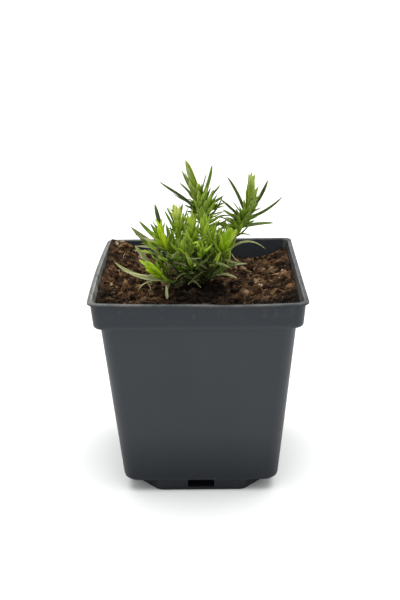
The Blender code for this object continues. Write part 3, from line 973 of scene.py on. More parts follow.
# %% all that lies on the mix
def scatter_mix():
    crumbs, shreds = Heap(), Heap()
    for _ in range(CRUMBS):
        x, y = random_spot()
        size = min(1.5, 0.28 + lots.expovariate(1 / 0.28))
        add_crumb(crumbs, lie(x, y, size * 0.18), size, crumb_tone())
    for _ in range(LUMPS):
        x, y = random_spot()
        size = lots.uniform(0.9, 2.3)
        add_crumb(crumbs, lie(x * 0.97, y * 0.97, size * 0.12), size, crumb_tone(), LARGE_BALL, 0.4)
    for _ in range(CHIPS):
        x, y = random_spot()
        length = lots.uniform(2.0, 7.5)
        add_chip(shreds, x * 0.92, y * 0.92, length, lots.uniform(0.6, 2.0), lots.uniform(0.4, 0.9),
                 lots.uniform(0, math.tau), lots.gauss(0, 0.2), held(lots.gauss(0.55, 0.24)))
    for x, y, size in PALE_GRAINS:
        add_crumb(crumbs, lie(x, y, size * 0.4), size, 1.0, LARGE_BALL, 0.3)
    for _ in range(FIBRES):
        x, y = random_spot()
        add_fibre(shreds, x, y, lots.uniform(2.5, 8), lots.uniform(0, math.tau), lots.uniform(0, 1.1),
                  lots.uniform(0.3, 0.95), lots.uniform(0.07, 0.17))
    return crumbs, shreds


crumbs, shreds = scatter_mix()
loose_finish = mix_finish("loose_mix", True)
for name, heap, angle in (("mix_crumbs", crumbs, 45), ("mix_shreds", shreds, 60)):
    item = heap.to_piece(name, loose_finish, angle)
    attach(item, "root")
    print(name, "faces:", len(item.data.polygons))

# %% [markdown]
# ## Crown and stems
# Every stem of a moss phlox grows from one woody crown at the level of the mix. The stems are brown and
# wiry at the foot, green and soft at the tip, and thicken a little at each node, where a pair of leaves
# sits. A plain tube would do from far away. Here each stem is a tube whose radius swells at its nodes.

# %% the routes of the stems, in mm
STEMS = {
    "main": ((1, 3, 88), (2.5, 5.5, 101), (3, 6, 110.5), (2, 6, 117), (1, 6, 123), (0.2, 6, 127)),
    "right": ((3.3, 4.3, 88), (9.5, 7, 97), (14.5, 9, 105), (19, 10, 111.5),
              (21.5, 10, 117.5), (23, 10, 121.5)),
    "left": ((-1.4, 3.9, 88), (-7.5, 3, 94.5), (-12, 1, 100.5), (-15, 0, 106.5), (-15.8, -0.5, 109.5)),
    "centre": ((0.55, 5.6, 88), (-4, 9, 96), (-7, 11, 102), (-9.3, 12, 108), (-9.5, 12, 112.5)),
    "low_left": ((-1.1, 1.5, 88.5), (-8, -6, 90), (-13.5, -10, 92), (-17.5, -12, 96)),
    "front_right": ((3.5, 2.3, 88), (6.5, -1, 94), (9.5, -3, 101), (11.5, -4, 106)),
    "low_right": ((2.3, 0.75, 88.4), (6, -4, 91.5), (9.5, -6, 96)),
    "low_front": ((0.55, 0.4, 88.4), (-4.5, -6, 92), (-8, -8.5, 97)),
}
STEM_RADIUS = 0.75
STEM_TIP_RADIUS = 0.46
# How far each stem reaches down into the crown.
STEM_SUNK = 1.4
# Nodes: from one to the next, how long each is, and by which share it is thicker.
NODE_PITCH = 2.7
NODE_LENGTH = 0.35
NODE_SWELL = 0.2


def smooth_route(points, steps):
    """A smooth curve through the points, with this many steps between each pair."""
    points = [Vector(point) for point in points]
    padded = [2 * points[0] - points[1], *points, 2 * points[-1] - points[-2]]
    route = []
    for before, start, end, after in zip(padded, padded[1:], padded[2:], padded[3:]):
        for step in range(steps):
            share = step / steps
            curve = (2 * before - 5 * start + 4 * end - after) * share
            curve += (3 * start - before - 3 * end + after) * share * share
            route.append(start + ((end - before) + curve) * share / 2)
    return [*route, points[-1]]


def stem_radii(route, foot, tip):
    """Radii along a stem: they shrink evenly from foot to tip, and swell at each node."""
    radii, walked = [], 0.0
    for index, place in enumerate(route):
        walked += (place - route[index - 1]).length if index else 0.0
        off_node = (walked + NODE_PITCH / 2) % NODE_PITCH - NODE_PITCH / 2
        share = index / (len(route) - 1)
        swell = NODE_SWELL * math.exp(-((off_node / NODE_LENGTH) ** 2))
        radii.append((foot + (tip - foot) * share) * (1 + swell))
    return radii


stem_routes = {name: smooth_route(points, 22) for name, points in STEMS.items()}
print("points on the tall stem's route:", len(stem_routes["main"]))

# %% the routes of the short side shoots, in mm
# They fill the cushion between the tall ones. Foot and tip of each.
SIDE_SHOOTS = (
    ((0, 4, 88), (-3, 1, 114)),
    ((2, 3, 88), (6, -3, 111)),
    ((1, 1, 88), (1, -8, 105)),
    ((0, 1, 88), (-7, -8, 105)),
    ((-2, 2, 88), (-16, -5, 97)),
    ((0, 0, 88), (-3, -11, 100)),
    ((2, 0, 88), (7, -10, 100)),
    ((3, 3, 88), (13, 3, 100)),
    ((-1, 1, 88), (-12, -10, 101)),
    ((3, 1, 88), (13, -3, 97)),
    ((1, 6, 88), (-3, 17, 106)),
    ((2, 6, 88), (7, 18, 106)),
    ((3, 5, 88), (16, 12, 101)),
    ((-1, 5, 88), (-14, 10, 101)),
    ((0, 6, 88), (-9, 19, 99)),
)


def side_route(foot, tip):
    foot, tip = Vector(foot), Vector(tip)
    return smooth_route((foot, foot.lerp(tip, 0.5) + Vector((0, 0, -1.2)), tip), 18)


side_routes = [side_route(foot, tip) for foot, tip in SIDE_SHOOTS]
print("side shoots:", len(side_routes))

# %% the finish of stems and crown
BARK = (0.075, 0.048, 0.026)
OLD_GREEN = (0.075, 0.085, 0.03)
YOUNG_GREEN = (0.13, 0.20, 0.045)


def stem_finish():
    """Brown at the foot, green towards the tip, with fine lengthwise streaks."""
    finish = new_finish("stem_skin", Roughness=0.6, Specular_IOR_Level=0.35)
    share = combine(finish, "MULTIPLY", grain(finish, 500, 3, 0.6), 0.35)
    share = combine(finish, "ADD", share, from_mesh(finish, "share"))
    colour = colour_scale(finish, share, ((0.1, BARK), (0.42, OLD_GREEN), (0.95, YOUNG_GREEN)))
    streaks = grain(finish, 1500, 3, 0.6, stretch=(1, 1, 0.15))
    set_shader(finish, Base_Color=colour, Normal=bump(finish, streaks, 0.08 * MM, 0.5))
    return finish


stem_skin = stem_finish()
for name, route in stem_routes.items():
    heap = Heap()
    sunk = [route[0] - (route[1] - route[0]).normalized() * STEM_SUNK, *route]
    heap.add_tube(sunk, stem_radii(sunk, STEM_RADIUS, STEM_TIP_RADIUS), 12, 0.5)
    stem = heap.to_piece(f"stem_{name}_skin", stem_skin)
    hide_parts(f"stem_{name}")
    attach(stem, "root")
print("stems:", len(stem_routes))

# %% the crown
# It narrows into the mix, has a rough knotty skin, and ends in a stub under each stem.
CROWN_PLACE = (1, 3)
# Height and radius, in mm.
CROWN_RINGS = (
    (70.0, 1.4), (76.0, 2.2), (82.0, 2.9), (85.0, 3.3),
    (86.4, 3.4), (87.3, 2.9), (87.9, 1.7), (88.1, 0.6),
)
CROWN_SIDES = 28
CROWN_STOPS = ((0.3, (0.02, 0.012, 0.007)), (0.75, (0.15, 0.10, 0.06)))


def build_crown():
    finish = new_finish("woody_crown", Roughness=0.85, Specular_IOR_Level=0.2)
    bark = grain(finish, 420, 5, 0.7, stretch=(1, 1, 0.4))
    colour = colour_scale(finish, bark, CROWN_STOPS)
    set_shader(finish, Base_Color=colour, Normal=bump(finish, bark, 0.3 * MM, 0.8))
    heap = Heap()
    route = smooth_route([(*CROWN_PLACE, height) for height, _ in CROWN_RINGS], 4)
    radii = [place.x for place in smooth_route([(radius, 0, 0) for _, radius in CROWN_RINGS], 4)]
    rings = []
    for place, radius in zip(route, radii):
        ring = []
        for side in range(CROWN_SIDES):
            angle = 2 * math.pi * side / CROWN_SIDES
            out = Vector((math.cos(angle), math.sin(angle), 0))
            knot = 1 + 0.16 * noise.noise(out * 1.6 + place * 0.35) + 0.05 * math.cos(5 * angle)
            ring.append(place + out * radius * knot)
        rings.append(ring)
    heap.add_rings(rings, 0.5)
    for stem in stem_routes.values():
        low = stem[0].lerp(Vector((*CROWN_PLACE, 84)), 0.8)
        middle = stem[0].lerp(Vector((*CROWN_PLACE, 86)), 0.4)
        heap.add_tube([low, middle, stem[0]], [1.0, 1.05, 0.72], 10, 0.5)
    crown = heap.to_piece("crown_wood", finish)
    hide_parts("crown")
    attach(crown, "root")
    return crown


print("crown faces:", len(build_crown().data.polygons))

# %% [markdown]
# ## Leaves
# A leaf of this phlox is an awl: stiff, narrow, hollowed along its upper face, keeled below, and drawn out
# to a sharp tip. A flat card would lose the bright edge and the dark groove that make it readable. Each
# leaf is a thin solid: one section of eight points, carried along a bent route and shrunk to the tip.

# %% one leaf
# The section in half widths: sideways and up. The first to the fifth point are the upper face.
BLADE = (
    (-1.0, 0.26), (-0.55, 0.06), (0.0, -0.10), (0.55, 0.06), (1.0, 0.26),
    (0.6, -0.12), (0.0, -0.36), (-0.6, -0.12),
)
BLADE_MIDDLE = [1.0 if sideways == 0 else 0.0 for sideways, _ in BLADE]
LEAF_STEPS = 15


def blade_width(share):
    """Half width of a blade at a share of its length: narrow foot, broadest low down, sharp tip."""
    return min(1.0, 0.66 + 1.7 * share) * max(0.02, (1 - share**3.4)) ** 0.85


def add_leaf(heap, route, across, half_width, tone, fold=1.0):
    """A blade along the route. across points sideways; fold raises the margins."""
    rings = []
    last = len(route) - 1
    for index, place in enumerate(route):
        along = (route[min(index + 1, last)] - route[max(index - 1, 0)]).normalized()
        side = (across - along * across.dot(along)).normalized()
        up = along.cross(side)
        half = half_width * blade_width(index / last)
        rings.append([place + side * half * sideways + up * half * rise * fold for sideways, rise in BLADE])
    heap.add_rings(rings, tone, BLADE_MIDDLE)


def arched_route(foot, tip, across, arch, steps=LEAF_STEPS):
    """A bent line from foot to tip. A positive arch lifts its middle towards the stem."""
    chord = tip - foot
    peak = foot.lerp(tip, 0.5) + chord.cross(across).normalized() * arch * chord.length * 2
    shares = [step / steps for step in range(steps + 1)]
    return [foot.lerp(peak, share).lerp(peak.lerp(tip, share), share) for share in shares]


print("points in one leaf:", len(BLADE) * (LEAF_STEPS + 1))

# %% [markdown]
# The frame holds 48 leaves as plain awls of seven rings. Each one is read back: its corners are sorted from
# foot to tip, and every six of them give a centre and a width. The fine leaf follows the same centres, so
# it stands exactly where the solid does.

# %% the leaves of the frame
def leaf_from_solid(item):
    """Route, side direction and half width of a leaf, read from its solid, in mm, foot first."""
    corners = {tuple(round(value / MM, 4) for value in corner.co) for corner in item.data.vertices}
    points = [Vector(corner) for corner in corners]
    one_end = max(points, key=lambda point: (point - points[0]).length)
    other_end = max(points, key=lambda point: (point - one_end).length)
    along = (other_end - one_end).normalized()
    points.sort(key=lambda point: point.dot(along))
    rings = [points[index:index + 6] for index in range(0, len(points), 6)]
    centres = [sum(ring, Vector()) / 6 for ring in rings]
    widths = [max((point - centre).length for point in ring) for ring, centre in zip(rings, centres)]
    if widths[0] < widths[-1]:
        rings.reverse()
        centres.reverse()
    across = max((point - centres[2] for point in rings[2]), key=lambda offset: offset.length)
    return smooth_route(centres, 3), across.normalized(), max(widths)


def nearest_on_stem(route, place):
    return min(route, key=lambda point: (point - place).length)


example = leaf_from_solid(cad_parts["leaf_main_01"])[0]
print("length of one leaf, in mm:", round((example[0] - example[-1]).length, 1))

# %% tones and widths of those leaves
# How far a leaf of the frame is twisted to the light in front, by its age.
LIGHT_PULL = {"young": 0.1, "mature": 0.8, "old": 0.6}
# Its tone, from dark at 0 to light at 1, by its name or its age.
SOLID_TONES = {
    "mature": 0.24, "old": 0.75, "leaf_main_07": 0.45, "leaf_main_09": 0.7, "leaf_right_01": 0.5,
    "leaf_left_02": 0.25, "leaf_low_left_03": 0.18, "leaf_low_left_04": 0.85, "leaf_low_left_05": 0.35,
}
# The lone leaves that stand out against the light are the darkest: their dark tone is painted shade.
LONE_LEAVES = ("main_03", "main_04", "right_04", "right_06", "right_07", "right_08", "left_03", "left_05")
SOLID_TONES.update({"leaf_" + name: 0.1 for name in LONE_LEAVES})
# The tone of the young leaves differs from shoot to shoot.
YOUNG_TONES = {
    "main": 0.37, "right": 0.45, "left": 0.66, "centre": 1.0,
    "low_left": 0.52, "front_right": 0.37, "low_right": 0.2, "low_front": 0.2,
}
# How many times as wide as its solid it is, by its name, its shoot or its age.
WIDENING = {
    "young": 1.3, "mature": 1.1, "old": 0.75, "low_left": 1.0, "left": 1.25, "right": 1.0,
    "leaf_main_03": 0.8, "leaf_main_04": 1.5, "leaf_main_07": 1.35, "leaf_left_02": 1.1,
    "leaf_right_04": 1.3, "leaf_right_05": 1.3, "leaf_right_06": 1.5, "leaf_right_07": 1.3,
    "leaf_right_08": 1.3, "leaf_right_10": 0.8, "leaf_right_11": 0.9,
}
# How far the tones of leaves next to each other lie apart. Steps of the golden ratio spread them evenly.
TONE_SPREAD = 0.24
GOLDEN_RATIO = 0.618
# Long leaves that sag in the middle, in mm.
SAGGING = {"leaf_main_04": 2.3, "leaf_low_left_02": 1.2}
# Leaves are darker round this place in the cushion: its centre and reach in mm, and the most, in tone.
SHADE_CENTRE = (-3, -5, 90)
SHADE_REACH = (16, 14, 12)
SHADE = 0.7
# The low and front shoots have new leaves of a vivid yellow-green, those on the tall shoots are more olive.
VIVID_SHOOTS = ("left", "low_left", "front_right", "low_front", "low_right")
print("leaves with a tone of their own:", len(SOLID_TONES) - 2)

# %% hollow, light and shade
def chosen(table, *keys):
    """The entry of the first key that the table holds."""
    return next(table[key] for key in keys if key in table)


def turned_to_light(route, across, stem, pull):
    """The side direction of a leaf whose hollow looks to its stem, twisted some way to the light in front."""
    along = (route[-1] - route[0]).normalized()
    middle = route[len(route) // 2]
    hollow = along.cross(across)
    if hollow.dot(nearest_on_stem(stem, middle) - middle + Vector((0, 0, 1.5))) < 0:
        hollow.negate()
    hollow = (hollow + pull * Vector((0, -1, 0.2))).normalized()
    return hollow.cross(along).normalized()


def shade_at(place):
    """How much darker a leaf is here, low in the middle of the cushion, in tone."""
    away = Vector([(a - b) / c for a, b, c in zip(place, SHADE_CENTRE, SHADE_REACH)]).length
    return SHADE * held((1.4 - away) / 0.9)


print("shade at its centre:", shade_at(SHADE_CENTRE))

# %% the fine leaves over them
# The leaves of each shoot and age, the nodes that they stand for, and where all of them run.
foliage = {}
replaced = {}
crowd = []


def keep_clear(places):
    crowd.append(np.array([tuple(place) for place in places]))


def follow_leaf(name, item):
    """The fine leaf in the place of one leaf of the frame."""
    shoot = name[len("leaf_"):-len("_00")]
    age = item.data.materials[0].name.removeprefix("leaf_")
    route, across, half_width = leaf_from_solid(item)
    stem = stem_routes[shoot]
    route = [route[0].lerp(nearest_on_stem(stem, route[0]), 0.75), *route]
    if name in SAGGING:
        shares = [index / (len(route) - 1) for index in range(len(route))]
        sags = [SAGGING[name] * 4 * share * (1 - share) for share in shares]
        route = [place - Vector((0, 0, sag)) for place, sag in zip(route, sags)]
    own_tone = age != "young" or name in SOLID_TONES
    tone = chosen(SOLID_TONES, name, age) if own_tone else YOUNG_TONES[shoot]
    tone += TONE_SPREAD * (int(name[-2:]) * GOLDEN_RATIO % 1 - 0.5)
    tone -= shade_at(route[len(route) // 2])
    across = turned_to_light(route, across, stem, LIGHT_PULL[age])
    heap = foliage.setdefault((shoot, age), Heap())
    add_leaf(heap, route, across, half_width * chosen(WIDENING, name, shoot, age), tone)
    replaced.setdefault((shoot, age), []).append(name)
    keep_clear(route[4:])


for name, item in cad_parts.items():
    if name.startswith("leaf_"):
        follow_leaf(name, item)
print("leaves read from the frame:", sum(len(names) for names in replaced.values()))

# %% [markdown]
# The rosettes at the tips make the face of the plant, so their leaves are placed one by one, by where they
# are seen. Each stroke gives the foot and the tip of a leaf as a column and a row of the camera's view, 400
# wide and 600 high from its top left corner, with a depth behind the middle of the pot in mm. A helper
# follows the line of sight to that depth. Then it turns the leaf so that its hollow looks inward. Growing
# them by a rule is less work, but a rule rarely clasps the young leaves of a tip together.

# %% places by line of sight
VIEW_COLUMNS = 400
VIEW_ROWS = 600
SENSOR = 36.0
sight = camera.matrix_world.copy()


def seen_at(column, row, depth):
    """The place in mm on the line of sight through a column and a row, to a tenth of a millimetre."""
    eye = sight.translation / MM
    focus = CAMERA_LENS / SENSOR * VIEW_ROWS
    line = sight.to_3x3() @ Vector((column - VIEW_COLUMNS / 2, VIEW_ROWS / 2 - row, -focus))
    place = eye + line * ((depth - eye.y) / line.y)
    return Vector([round(value, 1) for value in place])


print("the middle of the view lies at, in mm:", [round(value, 1) for value in seen_at(200, 300, 0)])

# %% placing a leaf
# How far the grown leaves of the tall shoots are twisted to the light in front.
PLACED_PULL = {"main": 0.4, "right": 0.5, "centre": 0.5, "left": 0.6}
# What is added to the tone of some of them.
TONE_LIFTS = {("main", "mature"): 0.1, ("left", "mature"): 0.2, ("front_right", "mature"): 0.2}
USUAL_ARCH = -0.03
# A foot this near its stem, in mm, is drawn in towards it.
SEAT_REACH = 4


def place_leaf(key, routes, stroke):
    """One leaf between two places in the view, clasping the nearest of the stems."""
    foot, tip = seen_at(*stroke[:3]), seen_at(*stroke[3:6])
    width, given_tone, *arch = stroke[6:]
    stem = min(routes, key=lambda route: (nearest_on_stem(route, foot) - foot).length)
    seat = nearest_on_stem(stem, foot)
    if (seat - foot).length < SEAT_REACH:
        foot = foot.lerp(seat, 0.85)
    along = (tip - foot).normalized()
    middle = foot.lerp(tip, 0.5)
    inward = (nearest_on_stem(stem, middle) - middle + Vector((0, 0, 0.6))).normalized()
    if key[1] != "young":
        inward += Vector((0, -1, 0.2)) * PLACED_PULL.get(key[0], 0.0)
    across = inward.cross(along).normalized()
    route = arched_route(foot, tip, across, *(arch or [USUAL_ARCH]))
    tone = given_tone + TONE_LIFTS.get(key, 0.0)
    if key[1] == "young":
        tone = YOUNG_TONES[key[0]] + 0.25 * (given_tone - 0.65)
    tone = held(tone) - shade_at(middle)
    add_leaf(foliage.setdefault(key, Heap()), route, across, width / 2, tone)
    keep_clear(route[5:])


def place_leaves(shoot, age, *strokes):
    """Each stroke: column, row and depth of the foot, then of the tip, width in mm, tone, arch if any."""
    routes = side_routes if shoot == "side" else [stem_routes[shoot]]
    for stroke in strokes:
        place_leaf((shoot, age), routes, stroke)
    print(f"{age} leaves placed on {shoot}:", len(strokes))


print("leaves so far:", len(crowd))

# %% young leaves placed on the tall stem
place_leaves(
    "main", "young",
    (195.5, 203, 4, 185, 160, 2, 3.6, 0.9), (195.5, 204, 3, 187, 166, 1, 3.2, 0.75),
    (196, 205, 5, 184, 171, 3, 2.6, 0.6), (196, 204, 3, 188, 173, 0, 2.4, 0.65),
    (198, 206, 2, 189, 180, -1, 2.4, 0.55),
)

# %% grown leaves placed on the tall stem
place_leaves(
    "main", "mature",
    (198, 206, 3, 193, 186, -2, 2.4, 0.5), (199, 205, 4, 202, 183, 0, 2, 0.3),
    (200, 206, 4, 206, 186, 0, 2, 0.5), (200, 206, 6, 211, 188, 3, 1.8, 0.3),
    (201, 207, 4, 208, 193, 0, 2, 0.5), (201, 208, 4, 215, 193, 2, 1.8, 0.4),
    (201, 209, 4, 212, 199, 0, 2, 0.5), (202, 211, 4, 218, 203, 2, 1.6, 0.35),
    (201, 210, 3, 209, 204, -2, 2, 0.5), (199, 208, 4, 188, 207, 1, 1.8, 0.3),
    (200, 209, 3, 191, 203, -2, 2, 0.35), (201, 211, 3, 190, 210, 0, 1.6, 0.65),
    (200, 207, 2, 198, 194, -4, 2.2, 0.6), (201, 209, 2, 203, 196, -4, 2.2, 0.5),
    (201, 211, 2, 200, 201, -5, 2, 0.45), (202, 213, 3, 207, 206, -3, 2, 0.4),
    (203, 222, 4, 198, 209, 1, 1.8, 1), (204, 224, 4, 208, 212, 1, 1.8, 0.65),
    (204, 230, 3, 199, 216, 0, 1.8, 1.05), (204, 226, 4, 194, 213, 3, 1.5, 0.45),
    (205, 231, 3, 211, 219, 1, 1.6, 1), (205, 235, 3, 204, 222, -1, 1.8, 0.65),
    (206, 238, 2, 212, 228, -1, 1.8, 0.75), (205, 238, 2, 200, 227, -2, 1.8, 0.65),
    (203, 216, 4, 213, 205, 1, 2, 0.55), (204, 220, 4, 214, 211, 0, 2, 0.65),
    (204, 224, 3, 213, 217, -1, 2, 0.75), (205, 229, 3, 216, 222, 0, 1.8, 0.7),
    (205, 232, 2, 210, 214, -2, 2.2, 0.8), (206, 236, 1, 213, 226, -4, 2.2, 0.85),
    (204, 218, 3, 209, 207, -3, 2.2, 0.45), (202, 216, 4, 191, 209, 2, 1.8, 0.65),
    (203, 221, 4, 191, 215, 1, 1.8, 0.7), (203, 226, 3, 193, 219, -1, 2, 0.75),
    (204, 231, 2, 192, 225, -2, 2, 0.8), (204, 236, 1, 195, 226, -4, 2, 0.75),
    (202, 211, 4, 213, 189, 3, 2.4, 0.5), (202, 208, 3, 209, 184, 2, 2.4, 0.6),
    (203, 215, 4, 216, 196, 3, 2.4, 0.45), (203, 218, 3, 217, 204, 2, 2.4, 0.5),
    (203, 214, 2, 213, 196, -1, 2.6, 0.6), (203, 219, 2, 214, 206, -2, 2.6, 0.55),
    (203, 223, 2, 215, 213, -1, 2.4, 0.65), (201, 212, 4, 192, 196, 3, 2.4, 0.5),
    (202, 216, 4, 190, 202, 2, 2.4, 0.4), (202, 215, 2, 194, 200, -1, 2.6, 0.6),
    (203, 220, 3, 192, 207, 1, 2.4, 0.45), (203, 222, 1, 197, 207, -3, 2.6, 0.6),
    (204, 226, 2, 194, 213, 0, 2.4, 0.65), (202, 212, 1, 203, 193, -3, 2.8, 0.6),
    (201, 208, 2, 198, 190, -2, 2.6, 0.65), (203, 217, 0, 206, 200, -4, 2.8, 0.5),
    (203, 222, 0, 201, 206, -4, 2.8, 0.55), (204, 228, 0, 205, 212, -4, 2.8, 0.75),
    (204, 233, 0, 201, 217, -4, 2.6, 0.75), (205, 238, -1, 208, 222, -5, 2.6, 0.8),
    (205, 233, 2, 216, 224, 0, 2.4, 0.75), (205, 237, 1, 195, 228, -1, 2.4, 0.8),
    (205, 238, 1, 216, 230, -1, 2.2, 1), (204, 213, 3, 215, 187, 2, 2.6, 0.5),
    (205, 212, 2, 218, 193, 0, 2.4, 0.45), (204, 209, 3, 211, 186, 1, 2.6, 0.55),
    (205, 216, 2, 219, 201, 0, 2.4, 0.45), (204, 214, 0, 212, 192, -3, 2.8, 0.6),
    (205, 218, 0, 216, 200, -3, 2.6, 0.55), (202, 209, 1, 207, 187, -2, 2.6, 0.65),
    (206, 205, 5, 221.5, 184.5, 5, 1.2, 0.05), (206, 209, 4, 224.5, 195, 3, 2.2, 0.05, -0.05),
    (200, 206, 3, 188, 193, 2, 2.2, 0.2), (201, 208, 3, 182, 199, 3, 2.6, 0.1),
    (202, 213, 3, 184, 205, 3, 2.6, 0.15), (198, 209, 5, 170, 192, 2, 1.3, 0.05),
    (202, 215, 4, 186, 211, 3, 2.2, 0.4), (202, 218, 2, 189, 213, 0, 2.2, 0.5),
    (200, 203, 1, 190, 189, 0, 2, 0.3), (203, 205, 5, 200, 184, 3, 2.4, 0.7),
    (204, 206, 5, 205, 187, 3, 2.4, 0.6), (206, 210, 3, 222, 198, 2, 1.6, 0.3),
    (206, 215, 3, 225, 206, 2, 1.6, 0.35, 0.05), (206, 212, 3, 226, 202, 3, 1.8, 0.35),
    (207, 217, 2, 227, 211, 2, 1.8, 0.5, 0.03), (207, 219, 2, 223, 212, 1, 1.7, 0.55),
    (206, 223, 2, 222, 217, 0, 1.5, 0.6, 0.05), (206, 225, 2, 221, 216, 2, 2, 0.55),
    (207, 229, 1, 222, 219, 1, 1.8, 0.55), (207, 206, 3, 220, 190, 3, 1.2, 0.3),
)

# %% old leaves placed on the tall stem
place_leaves(
    "main", "old",
    (198, 207, 4, 186, 202, 3, 1.3, 0.6), (213, 220, 3, 231, 216, 5, 1.6, 0.05, 0.12),
    (215, 227, 1, 229, 222, 3, 1.1, 0.25, 0.1),
)

# %% young leaves placed on the right stem
place_leaves(
    "right", "young",
    (252.5, 210, 9, 251.5, 172.5, 5, 3.2, 0.5), (252.5, 210, 8, 251.5, 171.5, 4, 3.4, 0.6),
    (254, 209, 8, 253.5, 175, 6, 3.2, 0.5), (253, 212, 6, 250.5, 174, 1, 3.6, 0.55),
)

# %% grown leaves placed on the right stem
place_leaves(
    "right", "mature",
    (251.5, 211, 8, 252.5, 188, 4, 2, 0.5), (249, 213, 8, 254, 193, 3, 2.2, 0.75),
    (249, 214, 8, 257, 199, 5, 2, 0.4), (249, 214, 8, 252.5, 195, 2, 2.2, 0.7),
    (249, 214, 8, 250.5, 202, 3, 1.8, 0.45), (245, 216, 8, 242, 203, 5, 1.3, 0.3),
    (244, 217, 8, 238, 203, 5, 1.6, 0.6), (247, 217, 7, 254, 208, 2, 2, 0.35),
    (246, 219, 7, 255, 214, 3, 2, 0.3), (244, 219, 8, 235, 211, 5, 2, 0.35),
    (243, 220, 8, 233, 216, 5, 2, 0.4), (244, 221, 7, 238, 212, 2, 2.2, 0.55),
    (245, 219, 6, 243, 208, 1, 2.2, 0.6), (241, 223, 8, 233, 219, 6, 1.8, 0.35),
    (242, 223, 6, 237, 227, 2, 1.8, 0.2), (238, 230, 8, 229, 226, 5, 1.6, 0.4),
    (236, 234, 7, 228, 222, 5, 1.4, 0.5), (237, 232, 7, 241, 221, 4, 1.8, 0.5),
    (249, 214, 7, 257, 192, 3, 2.6, 0.6), (250, 215, 6, 255, 198, 1, 2.6, 0.55),
    (249, 216, 6, 252, 200, 0, 2.4, 0.5), (247, 219, 6, 249.5, 205, 0, 2.4, 0.5),
    (245, 221, 6, 244, 206, 1, 2.6, 0.45), (244, 223, 6, 240, 207, 2, 2.6, 0.5),
    (243, 224, 6, 236, 208, 3, 2.4, 0.45), (242, 226, 6, 234, 213, 3, 2.4, 0.4),
    (243, 224, 5, 250, 212, 0, 2.6, 0.4), (241, 228, 5, 247, 217, 0, 2.6, 0.4),
    (240, 228, 5, 238, 215, 1, 2.4, 0.45), (239, 231, 5, 233, 219, 3, 1.6, 0.6),
    (238, 233, 5, 243, 222, 1, 1.8, 0.6), (250, 214, 8, 259, 196, 5, 2.6, 0.45),
    (250, 217, 7, 259, 203, 4, 2.6, 0.4), (249, 219, 7, 257, 209, 3, 2.6, 0.35),
    (247, 221, 6, 254, 214, 2, 2.4, 0.4), (243, 219, 8, 229, 206, 8, 1.5, 0.4),
    (242, 221, 7, 227, 213, 6, 1.6, 0.45, 0.05), (240, 224, 7, 225, 217, 6, 1.3, 0.45, 0.05),
    (241, 218, 8, 224, 203, 7, 1.6, 0.35), (240, 222, 7, 222, 209, 6, 2, 0.45),
    (238, 226, 6, 221, 216, 5, 2, 0.45), (235, 232, 5, 215, 221, 4, 1.8, 0.35),
    (236, 230, 6, 220, 222, 5, 1.8, 0.45), (239, 226, 6, 226, 224, 5, 1.5, 0.5),
    (249, 216, 7, 262, 207, 5, 2, 0.4), (248, 220, 6, 260, 214, 4, 2.2, 0.4),
    (246, 224, 6, 256, 220, 3, 1.8, 0.4), (247, 222, 5, 253, 214, 1, 2.6, 0.45),
)

# %% old leaves placed on the right stem
place_leaves(
    "right", "old",
    (243, 217, 8, 232, 200, 7, 1.2, 0.4), (240, 226, 8, 230, 220, 6, 1.2, 0.3),
    (239, 228, 8, 228, 217, 8, 1.3, 0.35),
)

# %% young leaves placed on the front right stem
place_leaves(
    "front_right", "young",
    (223, 250, -4, 231, 229, -7, 2.8, 0.7), (222, 251, -5, 226, 231, -9, 2.8, 0.6),
    (224, 251, -4, 232, 237, -6, 2.2, 0.5), (223, 252, -6, 230, 240, -11, 2.6, 0.65),
    (221, 253, -6, 221, 241, -12, 2.6, 0.45), (222, 256, -6, 217, 248, -11, 2.2, 0.3),
)

# %% grown leaves placed on the front right stem
place_leaves(
    "front_right", "mature",
    (222, 252, -5, 220, 233, -9, 2.6, 0.95), (220, 254, -5, 213, 239, -9, 2.4, 0.85),
    (219, 250, -2, 213, 228, -3, 2.8, 0.9), (216, 250, -2, 207, 230, -3, 2.6, 0.8),
    (217, 246, 0, 219, 226, 0, 2.2, 0.75), (224, 255, -4, 232, 247, -8, 2.2, 0.85),
    (224, 257, -4, 232, 254, -6, 1.6, 0.15), (218, 256, -4, 208, 249, -8, 2, 0.5),
)

# %% old leaves placed on the front right stem
place_leaves(
    "front_right", "old",
    (225, 252, -3, 238, 230, 0, 1.4, 0.8),
)

# %% young leaves placed on the middle stem
place_leaves(
    "centre", "young",
    (177.5, 220, 10, 176, 205, 6, 2.8, 1), (179, 221, 9, 180, 207, 5, 2.8, 0.95),
    (177, 222, 9, 172, 211, 6, 2.2, 0.7),
)

# %% grown leaves placed on the middle stem
place_leaves(
    "centre", "mature",
    (179, 232, 6, 177, 221, 1, 2.4, 0.75), (180, 233, 6, 183, 222, 1, 2.4, 0.7),
    (177, 233, 6, 172, 223, 3, 2.2, 0.6), (180, 227, 8, 184, 212, 5, 2.2, 0.95),
    (178, 231, 8, 176, 219, 3, 2.6, 0.9), (180, 230, 8, 183, 218, 3, 2.4, 0.8),
    (176, 230, 9, 169, 218, 7, 1.6, 0.4), (182, 231, 8, 189, 211, 8, 1.6, 0.45),
    (176, 233, 8, 171, 222, 4, 2, 0.6), (179, 234, 7, 178, 221, 2, 2.2, 0.4),
    (184, 232, 7, 190, 217, 5, 1.6, 0.6), (178, 240, 6, 176, 228, 1, 2, 0.95),
    (180, 241, 6, 185, 229, 2, 2, 0.8),
)

